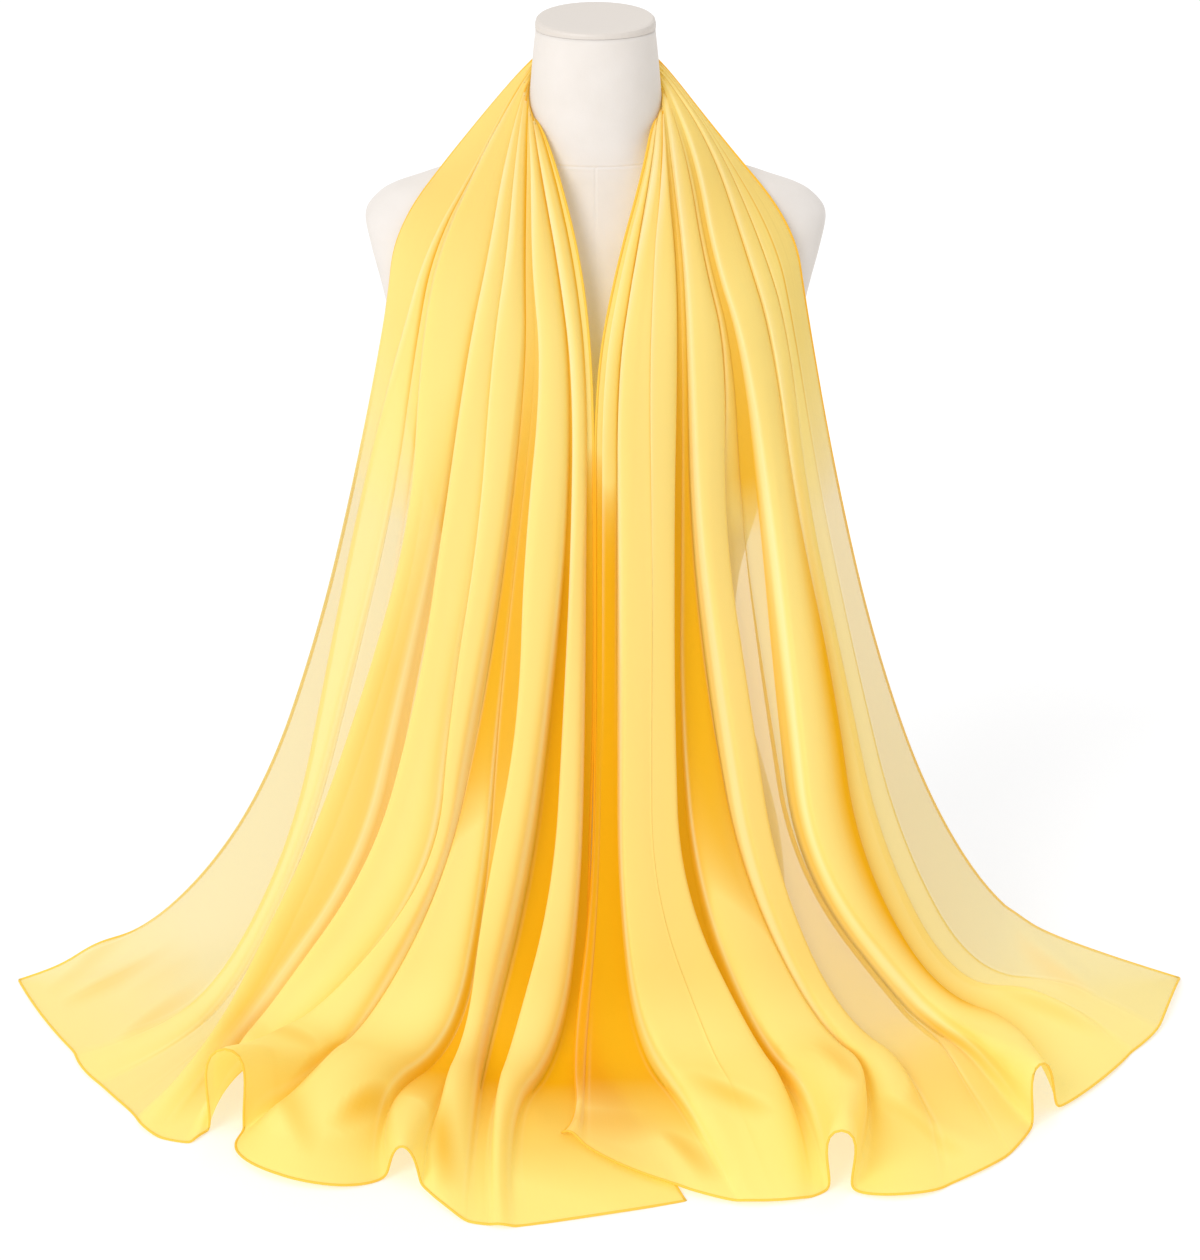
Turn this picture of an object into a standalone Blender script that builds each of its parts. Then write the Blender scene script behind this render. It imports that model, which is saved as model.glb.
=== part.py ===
"""A chiffon scarf draped round the neck of a limbless dress form.

Metres, +Z up, the form faces -Y, and the origin is under the middle of the form's base board.

The scarf is one long rectangle of cloth. Its middle is gathered into a pleated band behind the neck, and
its two halves fan out over the chest, hang straight down and trail on the floor. Each half is worked out
from fold lines: FOLDS gives, for each line that parts two folds, how far it lies to the side at each of
the STATIONS down the cloth, where it ends at the hem, and how far the fold that follows it stands proud.
Every line is a smooth curve through its stations, and each fold is an arch between two lines.
"""

import math

import bpy
import numpy as np

MM = 0.001

# ---- cloth ------------------------------------------------------------------------------------------
WALL = 1.0 * MM
HEM_THICKNESS = 2.0 * MM
MITRE_LIMIT = 0.25  # the least cosine used where two facets of the wall meet
HEM_SHARE = 0.09  # how much of the outermost fold the rolled hem takes
INNER_HEM_SHARE = 0.27  # and of the innermost one, which is narrower
HEM_ROW = 0.03  # share of a station that the lower hem takes
HEM_START = 3.5  # the station where the two long edges start to get their hem
HEM_RUN = 1.5  # and how many stations it takes to reach its full thickness
SEAM_GAP = 0.006  # share of a station between the neck band and each half: about 0.6 mm
ROW_STEPS = ((5, 7), (8, 5), (11, 12))  # rows of facets up to each station, closer where the cloth lands
FOLD_STEEPNESS = 2.0  # the most that a fold's height may be, as a share of its width less NARROWEST
HEM_STEEPNESS = 4.0  # the same on the hem, which stands up in narrow loops
NARROWEST = 2.5 * MM
LOWEST = 0.5 * MM  # a fold as narrow as that is still this high
SIDE_BULGE = 0.09  # how far a fold's sides swell, as a share of its width
FULL_FOLD = 6 * MM  # a fold this high swells in full
ARCH_POWER = 0.85  # below 1 makes a fold fuller than a sine arch

# ---- neck band --------------------------------------------------------------------------------------
BAND_RADIUS = (53 * MM, 60.5 * MM)  # at the band's upper and lower edges
BAND_CLEARANCE = 0.9 * MM
BAND_PLEAT = 1.3 * MM  # height of the band's pleats
BAND_ROWS = 6  # rows of facets from each half to the nape
BAND_CUTS = 3  # facets across each pleat
BAND_EDGE_SHARE = 0.35  # how near to its two edges, as the sine of the way across, the band gets thinner
BAND_EDGE_TAPER = 0.85  # how much thinner it is at the edges themselves
BAND_TURN_TOP = 68  # degrees from the nape to the side, along the band's upper edge
BAND_TURN_BOTTOM = 126
BAND_TOP = (778 * MM, 780 * MM, 784 * MM, 784 * MM)  # heights of the upper edge at nape, rear, flank and side
BAND_BOTTOM = (738 * MM, 738 * MM, 740 * MM, 746 * MM)
BAND_END = 1.6  # the station, counted from the nape, where the band ends and the two halves begin

# ---- stations down the cloth, in mm -------------------------------------------------------------------
# The cross section at a station is half an oval: it runs from the outer edge at the side, left or right mm
# out, side_y back and up_left or up_right high, to the front at x = 0, front_y out and front_up high.
# flare shapes the rise towards the side, and tilt is the way folds point: 0 is outwards and 90 is up.
STATION_COLUMNS = (
    "name", "left", "right", "side_y", "up_left", "up_right", "front_y", "front_up", "flare", "tilt",
)
STATIONS = (
    ("collar", 105, 97, 4, 720, 724, -78, 708, 1.0, 0),
    ("shoulder", 156, 155, -56, 664, 666, -107, 642, 1.0, 0),
    ("chest", 163, 165, -60, 599, 601, -131, 563, 1.0, 0),
    ("waist", 189, 190, -48, 466, 465, -133, 430, 1.0, 0),
    ("hip", 223, 225, -42, 325, 316, -138, 290, 1.0, 0),
    ("low", 272, 274, -30, 182, 173, -148, 140, 1.5, 10),
    ("break", 338, 336, -20, 83, 70, -165, 2, 3.0, 50),
    ("floor", 414, 402, -15, 27, 33, -290, 0, 3.0, 85),
)

# ---- fold lines, in mm --------------------------------------------------------------------------------
# A row is the line on a fold's outer side. neck is the fold's share of the band's width. collar to floor
# are the line's distances to the side, and hem_x and hem_y its end on the floor. rise is how much of the
# folds' height the line keeps, bed is its lift where the other half lies under it, and cuts is how many
# facets span the fold. chest_h to hem_h are the fold's heights, bow is how far its hem curves out, and
# lean is how far its crest leans to the left, as a share of its width.
FOLD_COLUMNS = (
    "name", "neck", "collar", "shoulder", "chest", "waist", "hip", "low", "break", "floor", "hem_x", "hem_y",
    "rise", "bed", "cuts", "chest_h", "hip_h", "break_h", "floor_h", "hem_h", "bow", "lean",
)
LEFT_FOLDS = (
    ("outer_edge", 8, 105, 156, 163, 189, 223, 272, 338, 414, 488, -12, 0.0, 0, 4, 3, 4, 6, 5, 1, 4, 0.0),
    ("sheer", 8, 89, 128, 145, 179, 207, 238, 302, 362, 422, -156, 0.6, 0, 4, 8, 10, 10, 7, 2, 6, 0.0),
    ("gap_c", 3, 86, 119, 130, 147, 173, 222, 284, 327, 370, -252, 0.3, 0, 1, 0, 0, 0, 1, 0, 0, 0.0),
    ("fold_c", 8, 83, 116, 127, 133, 170, 218, 280, 323, 359, -270, 0.1, 0, 5, 16, 24, 24, 12, 3, 4, 0.15),
    ("gap_d", 3, 68, 79, 95, 116, 143, 174, 263, 311, 340, -296, 0.0, 0, 1, 0, 0, 0, 0, 0, 0, 0.0),
    ("fold_d", 8, 66, 77, 92, 110, 130, 169, 255, 305, 322, -306, 0.0, 0, 5, 15, 24, 20, 8, 3, 8, 0.2),
    ("fold_e", 8, 59, 64, 75, 84, 105, 121, 217, 296, 297, -281, 0.0, 0, 6, 12, 20, 26, 36, 80, 0, 0.0),
    ("sweep", 4, 53, 54, 53, 67, 88, 115, 180, 228, 270, -290, 0.0, 0, 5, 1, 1, 24, 46, 6, 56, 0.0),
    ("curl_b", 4, 50, 49, 45, 60, 76, 86, 108, 175, 159, -370, 0.0, 0, 4, 0, 2, 4, 16, 38, 0, 0.0),
    ("tube", 8, 46, 44, 37, 49, 56, 79, 99, 127, 132, -388, 0.1, 0, 6, 14, 36, 40, 24, 5, 4, 0.15),
    ("recess_g", 3, 41, 28, 18, 22, 34, 53, 88, 95, 96, -442, 0.0, 0, 2, 0, 0, 2, 4, 1, 1, 0.0),
    ("fold_g", 8, 38, 25, 15, 17, 23, 31, 62, 86, 78, -446, 0.0, 0, 4, 13, 26, 32, 20, 5, 4, 0.15),
    ("flap", 3, 31, 15, 6, 7, 8, 11, 26, 73, 60, -449, 0.0, 0, 3, 0, 0, 0, 2, 1, 3, 0.0),
    ("inner_edge", 0, 28, 10, 2, 3, 3, 7, 6, -31, -68, -408, 0.0, 0, 0, 0, 0, 0, 0, 0, 0, 0.0),
)
RIGHT_FOLDS = (
    ("outer_edge", 6, 97, 155, 165, 190, 225, 274, 336, 402, 494, -8, 0.0, 0, 3, 2, 3, 5, 4, 9, 2, 0.0),
    ("sheer", 6, 96, 140, 154, 176, 207, 243, 309, 395, 463, -110, 0.6, 0, 3, 3, 5, 8, 6, 1, 3, 0.0),
    ("soft", 6, 95, 129, 149, 164, 194, 224, 291, 388, 435, -152, 0.3, 0, 4, 8, 10, 14, 10, 3, 6, 0.0),
    ("fold_r", 8, 91, 116, 137, 153, 180, 200, 270, 356, 364, -258, 0.1, 0, 6, 14, 22, 24, 24, 54, 0, 0.3),
    ("gap_r", 3, 77, 90, 113, 126, 138, 161, 256, 306, 341, -286, 0.0, 0, 2, 0, 0, 2, 4, 3, 3, 0.0),
    ("shade", 4, 74, 87, 107, 113, 130, 157, 252, 294, 319, -332, 0.1, 0, 3, 3, 8, 12, 8, 3, 6, 0.0),
    ("fold_k", 8, 71, 83, 102, 96, 112, 133, 192, 266, 266, -383, 0.1, 0, 6, 16, 28, 30, 22, 5, 24, 0.2),
    ("ridge", 3, 59, 68, 71, 74, 90, 114, 174, 229, 194, -391, 0.0, 0, 4, 1, 3, 24, 34, 66, 0, 0.0),
    ("recess_k", 3, 57, 65, 67, 67, 66, 76, 124, 171, 177, -390, 0.0, 0, 2, 0, 0, 0, 3, 1, 2, 0.0),
    ("big_outer", 6, 54, 63, 64, 60, 61, 61, 115, 166, 163, -402, 0.0, 0, 4, 15, 34, 36, 18, 3, 3, 0.0),
    ("big_inner", 6, 49, 44, 40, 39, 37, 38, 77, 112, 134, -412, 0.8, 0, 4, 15, 34, 36, 18, 3, 3, 0.2),
    ("recess_in", 6, 43, 30, 17, 17, 17, 17, 31, 79, 106, -412, 0.0, 5, 3, 7, 0, 0, 4, 2, 18, 0.1),
    ("corner", 3, 39, 20, 6, 5, 5, 3, -8, -9, -12, -322, 0.2, 9, 2, 0, 0, 2, 3, 8, 2, 0.0),
    ("inner_edge", 0, 37, 16, 0, 0, 0, -2, -18, -13, -26, -305, 0.0, 10, 0, 0, 0, 0, 0, 0, 0, 0.0),
)
LEFT, RIGHT = -1, 1
LINE_STATIONS = ("collar", "shoulder", "chest", "waist", "hip", "low", "break", "floor")
STATION_COUNT = 5 + len(LINE_STATIONS)  # nape, rear, flank and side on the neck, then these, then the hem
HEIGHT_STATIONS = (0, 3, 4, 6, 8, 10, 11, 12)  # neck, neck, collar, then where chest_h to hem_h apply
COLLAR_SHARE = 0.06  # heights at the collar, as a share of chest_h
BED_STATIONS = (8, 9, 10, 11, 12)
BED_SHARES = (0, 0.2, 1.1, 0.6, 0.45)

# ---- dress form, in mm ----------------------------------------------------------------------------------
# Rings from the base up to the neck: half width, front and back reach, and squareness (2 is an oval).
RING_COLUMNS = ("up", "half", "front", "back", "squareness")
RINGS = (
    (6.3, 146, 80, 100, 2.3),
    (60, 158, 90, 112, 2.3),
    (130, 154, 90, 108, 2.3),
    (200, 137, 84, 94, 2.3),
    (260, 121, 77, 80, 2.3),
    (310, 114, 74, 72, 2.3),
    (360, 117, 78, 74, 2.3),
    (420, 132, 90, 80, 2.3),
    (480, 149, 103, 88, 2.4),
    (530, 161, 107, 93, 2.5),
    (570, 170, 104, 94, 2.5),
    (598, 176, 97, 91, 2.5),
    (612, 178, 92, 89, 2.4),
    (640, 184, 82, 80, 2.2),
    (662, 185, 74, 68, 2.0),
    (680, 171, 66, 60, 1.8),
    (694, 137, 61, 60, 1.8),
    (706, 97, 59, 61, 1.9),
    (720, 67, 57, 60, 2.0),
    (736, 55, 54.5, 55, 2.0),
    (752, 52.5, 52, 52.5, 2.0),
    (770, 50.8, 50.8, 50.8, 2.0),
    (788, 49.2, 49.4, 49.4, 2.0),
    (810, 46.8, 47.4, 47.4, 2.0),
)
RING_SIDES = 44
ARMHOLE_TOP = (187 * MM, 664 * MM)  # x and z of the flat armhole's upper end
ARMHOLE_LEAN = 0.31  # how much further in the armhole lies for each unit further down
ARMHOLE_ROUNDING = 40  # the power of a soft limit: the higher, the sharper the armhole's edge
ARMHOLE_DEEPEST = 590 * MM
CAP_UP = 810.3 * MM
CAP_THICK = 8.2 * MM  # in its middle
CAP_RINGS = ((0, 47.2), (0.5, 47.2), (0.85, 46.5), (1, 45.0))  # share of that thickness, and radius in mm
CAP_SLOPE = 0.08  # the cap's top leans a little to the front
CAP_DOME = 0.4 * MM
CAP_DOME_SHARE = 0.8  # of the top's radius, inside which the dome is flat
BOARD_THICK = 6 * MM
BOARD_INSET = 4 * MM

# colour, roughness
CHIFFON = ("chiffon", (0.95, 0.74, 0.16), 0.75)
FORM_CLOTH = ("form_cover", (0.86, 0.83, 0.79), 0.8)
FORM_CAP = ("form_cap", (0.88, 0.85, 0.81), 0.55)
BOARD_PAINT = ("board_paint", (0.75, 0.72, 0.68), 0.6)


def column(rows, columns, name):
    """One column of a table."""
    return np.array([row[columns.index(name)] for row in rows])


def spline_weights(v, count):
    """Weights of a quadratic B-spline with clamped ends: a row for each v in 0 to count - 2, a column for
    each control point. No weight is below 0, so lines that keep their order at the stations never cross."""
    v = np.atleast_1d(np.asarray(v, float))
    knots = np.concatenate([[0, 0], np.arange(count - 1), [count - 2, count - 2]]).astype(float)
    inside = np.minimum(v, count - 2 - 1e-9)[:, None]
    weights = ((knots[:-1] <= inside) & (inside < knots[1:])).astype(float)
    for degree in (1, 2):
        start, end = knots[: -degree - 1], knots[degree + 1 :]
        run_in = np.maximum(knots[degree:-1] - start, 1e-12)
        run_out = np.maximum(end - knots[1:-degree], 1e-12)
        weights = (inside - start) / run_in * weights[:, :-1] + (end - inside) / run_out * weights[:, 1:]
    return weights


def neck_controls(side, folds):
    """Control points of each line round the neck, at nape, rear, flank and side. A line turns 0, 1, 3 and 5
    equal steps from the nape, and the middle points stand out by 1 / cos(step), which keeps it round."""
    share = np.concatenate([[0], np.cumsum(column(folds, FOLD_COLUMNS, "neck"))[:-1]])
    share = share / share[-1]
    step = np.radians(BAND_TURN_TOP + (BAND_TURN_BOTTOM - BAND_TURN_TOP) * share) / 5
    turns = np.stack([0 * step, step, 3 * step, 5 * step], 1)
    radius = (BAND_RADIUS[0] + (BAND_RADIUS[1] - BAND_RADIUS[0]) * share)[:, None]
    even = np.ones_like(step)
    radius = radius / np.stack([even, np.cos(step), np.cos(step), even], 1)
    top, bottom = np.array(BAND_TOP), np.array(BAND_BOTTOM)
    up = top + (bottom - top) * share[:, None]
    return np.stack([side * radius * np.sin(turns), radius * np.cos(turns), up], 2)


def oval_controls(side, folds):
    """Control points of each line at the stations from collar to floor, on each station's half oval."""
    edge = column(STATIONS, STATION_COLUMNS, "left" if side == LEFT else "right")
    edge_up = column(STATIONS, STATION_COLUMNS, "up_left" if side == LEFT else "up_right")
    side_y, front_y = (column(STATIONS, STATION_COLUMNS, name) for name in ("side_y", "front_y"))
    front_up, flare = (column(STATIONS, STATION_COLUMNS, name) for name in ("front_up", "flare"))
    across = np.stack([column(folds, FOLD_COLUMNS, name) for name in LINE_STATIONS], 1)
    angle = np.arcsin(np.clip(across / edge, -1, 1))
    up = front_up + (edge_up - front_up) * np.abs(angle / (math.pi / 2)) ** flare
    return np.stack([side * across, side_y + (front_y - side_y) * np.cos(angle), up], 2) * MM


def line_controls(side, folds):
    """All control points of each line: a row for each line, a column for each station."""
    hem = [side * column(folds, FOLD_COLUMNS, "hem_x"), column(folds, FOLD_COLUMNS, "hem_y")]
    hem = np.stack([*hem, 0 * hem[0]], 1)[:, None] * MM
    return np.concatenate([neck_controls(side, folds), oval_controls(side, folds), hem], 1)


def along_stations(values, at):
    """Values at some stations, spread linearly over all of them."""
    return np.stack([np.interp(np.arange(STATION_COUNT), at, row) for row in values])


def fold_heights(folds, pleat):
    """How far each fold stands proud at each station. pleat is that height round the neck, 0 for a recess."""
    pleat = np.where(column(folds, FOLD_COLUMNS, "neck") > 4, pleat / MM, 0)
    names = ("chest_h", "hip_h", "break_h", "floor_h", "hem_h")
    known = [column(folds, FOLD_COLUMNS, name) for name in names]
    known = [pleat, pleat, COLLAR_SHARE * known[0], *known]
    return along_stations(np.stack(known, 1), HEIGHT_STATIONS) * MM


def limited_heights(heights, lines, on_hem):
    """Heights of the folds, eased to stay under FOLD_STEEPNESS times their width less NARROWEST, or under
    HEM_STEEPNESS times it on the hem."""
    steepness = FOLD_STEEPNESS + (HEM_STEEPNESS - FOLD_STEEPNESS) * on_hem
    width = np.linalg.norm(np.diff(lines, axis=1), axis=2)
    width = np.concatenate([width, width[:, -1:]], 1)
    most = steepness * np.maximum(width - NARROWEST, 0) + LOWEST
    return heights / (1 + (heights / most) ** 3) ** (1 / 3)


def half_surface(side, folds, fold, t, v, pleat=0.0):
    """Points of one half of the scarf. fold and t, from 0 to 1 across that fold, give the columns, and v
    gives the rows, from 0 at the nape to STATION_COUNT - 2 at the hem.

    A point lies between the fold's two lines, p = t - bulge sin(2 pi t) - lean sin(pi t)^2 of the way, and
    stands proud by the lines' own height there plus the fold's height times sin(pi t)^ARCH_POWER."""
    weights = spline_weights(v, STATION_COUNT)
    lines = np.einsum("vs,lsk->vlk", weights, line_controls(side, folds))
    heights = limited_heights(weights @ fold_heights(folds, pleat).T, lines, weights[:, -1:])
    rise = column(folds, FOLD_COLUMNS, "rise")
    own = 0.5 * (heights + np.roll(heights, 1, axis=1)) * rise
    bed = np.array(BED_SHARES) * column(folds, FOLD_COLUMNS, "bed")[:, None] * MM
    bed = along_stations(bed, BED_STATIONS) @ weights.T
    wave = np.sin(math.pi * t)
    solid = np.minimum(1, heights[:, fold] / FULL_FOLD)
    shift = SIDE_BULGE * np.sin(2 * math.pi * t) - side * column(folds, FOLD_COLUMNS, "lean")[fold] * wave**2
    p = t - solid * shift
    floor_share = weights[:, -1:]
    lift = own[:, fold] * (1 - t) + own[:, fold + 1] * t
    arch = np.maximum(heights[:, fold] - lift, 0) * np.abs(wave) ** ARCH_POWER
    lift = lift + arch + (bed.T[:, fold] * (1 - t) + bed.T[:, fold + 1] * t)
    points = lines[:, fold] * (1 - p[..., None]) + lines[:, fold + 1] * p[..., None]
    outward = points * (1, 1, 0)
    outward /= np.linalg.norm(outward, axis=2, keepdims=True)
    tilt = weights @ np.concatenate([[0, 0, 0, 0], column(STATIONS, STATION_COLUMNS, "tilt"), [90]])
    tilt = np.radians(tilt)[:, None, None]
    bow = column(folds, FOLD_COLUMNS, "bow")[fold] * MM * wave * floor_share
    proud = np.cos(tilt) * outward + np.sin(tilt) * np.array((0, 0, 1))
    return points + lift[..., None] * proud + bow[..., None] * outward


def fold_columns(folds):
    """(fold, t) of each column of facets: cuts spans a fold, and a narrow strip at each edge for the hem."""
    fold, t = [], []
    for index, cuts in enumerate(column(folds, FOLD_COLUMNS, "cuts")[:-1]):
        steps = np.arange(cuts) / cuts
        if index == 0:
            steps = np.insert(steps, 1, HEM_SHARE)
        fold += [index] * len(steps)
        t += list(steps)
    last = len(folds) - 2
    return np.array([*fold, last, last]), np.array([*t, 1 - INNER_HEM_SHARE, 1])


def unit(vectors):
    return vectors / np.maximum(np.linalg.norm(vectors, axis=-1, keepdims=True), 1e-12)


def wall_sides(points, thickness, side):
    """The outer and inner side of a wall of this thickness with the grid of points in its middle. Where
    facets meet at an angle a with the normal between them, the hollow side stands off by
    thickness / 2 / cos(a), so that the wall stays open in a narrow valley or crest."""
    down = np.gradient(points, axis=0)
    steps = np.diff(points, axis=1)
    before, after = np.concatenate([steps[:, :1], steps], 1), np.concatenate([steps, steps[:, -1:]], 1)
    first, second = unit(np.cross(before, down) * side), unit(np.cross(after, down) * side)
    normal = unit(first + second)
    cosine = np.maximum((normal * first).sum(2), MITRE_LIMIT)
    crest = ((second - first) * (before + after)).sum(2) > 0
    reach = thickness / 2
    outer = points + normal * np.where(crest, reach, reach / cosine)[..., None]
    inner = points - normal * np.where(crest, reach / cosine, reach)[..., None]
    return outer, inner


def material(name, colour, roughness):
    made = bpy.data.materials.new(name)
    made.use_nodes = True
    shader = made.node_tree.nodes["Principled BSDF"]
    shader.inputs["Base Color"].default_value = (*colour, 1)
    shader.inputs["Roughness"].default_value = roughness
    shader.inputs["Metallic"].default_value = 0
    made.diffuse_color = (*colour, 1)
    return made


def add_mesh(name, points, faces, finish, smooth=True):
    """A closed mesh object. Faces are turned if they enclose a negative volume."""
    mesh = bpy.data.meshes.new(name)
    points = np.asarray(points)
    volume = sum(
        np.dot(points[face[0]], np.cross(points[face[i]], points[face[i + 1]]))
        for face in faces
        for i in range(1, len(face) - 1)
    )
    if volume < 0:
        faces = [face[::-1] for face in faces]
    mesh.from_pydata(points.tolist(), [], faces)
    mesh.update()
    if smooth:
        mesh.shade_smooth()
    mesh.materials.append(material(*finish))
    obj = bpy.data.objects.new(name, mesh)
    bpy.context.scene.collection.objects.link(obj)
    return obj


def shell_faces(rows, columns):
    """Triangles of a closed wall: an outer grid, an inner grid after it cut along the same diagonals, and a
    rim that joins their borders."""
    grid = np.arange(rows * columns).reshape(rows, columns)
    a, b, c, d = (part.reshape(-1) for part in (grid[:-1, :-1], grid[:-1, 1:], grid[1:, 1:], grid[1:, :-1]))
    outer = np.concatenate([np.stack([a, b, c], 1), np.stack([a, c, d], 1)])
    border = np.concatenate([grid[0, :-1], grid[:-1, -1], grid[-1, :0:-1], grid[:0:-1, 0]])
    following = np.roll(border, -1)
    inner = rows * columns
    rim = np.stack([border, border + inner, following + inner], 1)
    other_rim = np.stack([border, following + inner, following], 1)
    return np.concatenate([outer, outer[:, ::-1] + inner, rim, other_rim]).tolist()


def half_scarf(name, side, folds):
    """One half of the scarf as a wall, thicker along its rolled hem and flat where it lies on the floor."""
    fold, t = fold_columns(folds)
    last = STATION_COUNT - 2
    v = [np.linspace(BAND_END + SEAM_GAP, ROW_STEPS[0][0], ROW_STEPS[0][1], endpoint=False)]
    for (first, _), (end, count) in zip(ROW_STEPS, ROW_STEPS[1:]):
        v.append(np.linspace(first, end, count, endpoint=False))
    v = np.concatenate([*v, [last - HEM_ROW, last]])
    points = half_surface(side, folds, fold, t, v)
    thickness = np.full(points.shape[:2], WALL)
    thickness[:, 0] += (HEM_THICKNESS - WALL) * np.clip((v - HEM_START) / HEM_RUN, 0, 1)
    thickness[:, -1] = thickness[:, 0]
    thickness[-1, :] = HEM_THICKNESS
    points[..., 2] += thickness / 2
    outer, inner = wall_sides(points, thickness, side)
    sunk = np.maximum(0, -inner[..., 2])
    inner[..., 2] += sunk
    outer[..., 2] = np.maximum(outer[..., 2], inner[..., 2] + thickness)
    rows, columns = points.shape[:2]
    both = np.concatenate([outer.reshape(-1, 3), inner.reshape(-1, 3)])
    return add_mesh(name, both, shell_faces(rows, columns), CHIFFON)


def neck_radius(up):
    """Radius of the form's neck at a height."""
    heights = column(RINGS, RING_COLUMNS, "up") * MM
    widest = np.max([column(RINGS, RING_COLUMNS, name) for name in ("half", "front", "back")], axis=0)
    return np.interp(up, heights, widest * MM)


def neck_band():
    """The gathered middle of the scarf: one rounded solid with the pleats on its outside and the neck's shape
    inside, from one half's first row round the nape to the other's."""
    turns = np.linspace(BAND_END, 0, BAND_ROWS)
    outer_rows = []
    for side, folds, v in ((LEFT, LEFT_FOLDS, turns), (RIGHT, RIGHT_FOLDS, turns[::-1])):
        last = len(folds) - 2
        fold = np.append(np.repeat(np.arange(last + 1), BAND_CUTS), last)
        t = np.append(np.tile(np.arange(BAND_CUTS) / BAND_CUTS, last + 1), 1)
        outer_rows.append(half_surface(side, folds, fold, t, v, BAND_PLEAT))
    nape = 0.5 * (outer_rows[0][-1] + outer_rows[1][0])
    outer = np.concatenate([outer_rows[0][:-1], nape[None], outer_rows[1][1:]])
    across = np.linspace(0, 1, outer.shape[1])
    radial = outer * (1, 1, 0)
    reach = np.linalg.norm(radial, axis=2, keepdims=True)
    against_neck = neck_radius(outer[..., 2:]) + BAND_CLEARANCE
    against_neck = np.minimum(against_neck, reach - WALL)
    near_edge = np.maximum(0, 1 - np.sin(math.pi * across) / BAND_EDGE_SHARE)[None, :, None]
    outer_reach = reach + (against_neck + WALL - reach) * np.minimum(near_edge, BAND_EDGE_TAPER)
    outward = radial / reach
    up = outer[..., 2:] * np.array((0, 0, 1))
    sides = outward * outer_reach + up, outward * against_neck + up
    points = np.concatenate([side_points.reshape(-1, 3) for side_points in sides])
    return add_mesh("scarf_neck_band", points, shell_faces(*outer.shape[:2]), CHIFFON)


def armhole_x(up):
    """How far out the flat armhole lies at a height."""
    return ARMHOLE_TOP[0] - ARMHOLE_LEAN * (ARMHOLE_TOP[1] - up)


def ring_points(up, half, front, back, squareness, sides=RING_SIDES):
    """One ring of the form: a superoval that is deeper on one side of the x axis than on the other."""
    angle = np.arange(sides) * 2 * math.pi / sides
    cosine, sine = np.cos(angle), np.sin(angle)
    x = half * np.sign(cosine) * np.abs(cosine) ** (2 / squareness)
    depth = np.where(sine < 0, front, back)
    y = depth * np.sign(sine) * np.abs(sine) ** (2 / squareness)
    return np.stack([x, y, np.full(sides, up)], 1)


def lofted(name, rings, finish):
    """A closed body through rings of the same number of points, capped flat at both ends."""
    sides = len(rings[0])
    first = np.arange(sides)
    following = np.roll(first, -1)
    faces = [list(first)[::-1]]
    for level in range(len(rings) - 1):
        low = level * sides
        quads = np.stack([first + low, following + low, following + low + sides, first + low + sides], 1)
        faces += quads.tolist()
    faces.append(list(first + sides * (len(rings) - 1)))
    return add_mesh(name, np.concatenate(rings), faces, finish)


def form_torso():
    rings = [ring_points(*row) * MM for row in RINGS]
    for ring in rings:
        if ring[0, 2] >= ARMHOLE_DEEPEST:
            over = np.abs(ring[:, 0]) / armhole_x(ring[0, 2])
            ring[:, 0] /= (1 + over**ARMHOLE_ROUNDING) ** (1 / ARMHOLE_ROUNDING)
    return lofted("form_torso", rings, FORM_CLOTH)


def neck_cap():
    """A disc on the neck. Its top is a shallow dome that leans to the front."""
    rings = [ring_points(0, half, half, half, 2) * MM for _, half in CAP_RINGS]
    rings.append(rings[-1] * CAP_DOME_SHARE)
    shares = [share for share, _ in CAP_RINGS] + [1]
    for ring, share in zip(rings, shares):
        ring[:, 2] = CAP_UP + share * (CAP_THICK + CAP_SLOPE * ring[:, 1])
    rings[-1][:, 2] += CAP_DOME
    return lofted("form_neck_cap", rings, FORM_CAP)


def base_board():
    """The board that the form stands on, a little smaller than the form's lowest ring."""
    up, half, front, back, squareness = RINGS[0]
    inset = BOARD_INSET / MM
    outline = [
        ring_points(level / MM, half - inset, front - inset, back - inset, squareness) * MM
        for level in (0, BOARD_THICK)
    ]
    return lofted("form_base_board", outline, BOARD_PAINT)


def clear_scene():
    for obj in list(bpy.data.objects):
        bpy.data.objects.remove(obj, do_unlink=True)


clear_scene()
form_torso()
neck_cap()
base_board()
neck_band()
half_scarf("scarf_left_fall", LEFT, LEFT_FOLDS)
half_scarf("scarf_right_fall", RIGHT, RIGHT_FOLDS)
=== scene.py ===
# %% [markdown]
# # A chiffon scarf on a dress form
#
# The object is a long rectangle of yellow chiffon that lies round the neck of a limbless dress form. Its middle is
# gathered behind the neck, its two halves fan out over the shoulders, hang in deep folds and trail on the floor. This
# notebook dresses the imported frame: every piece is made in the frame's own metres, so nothing is fitted afterwards.

import math

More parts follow.
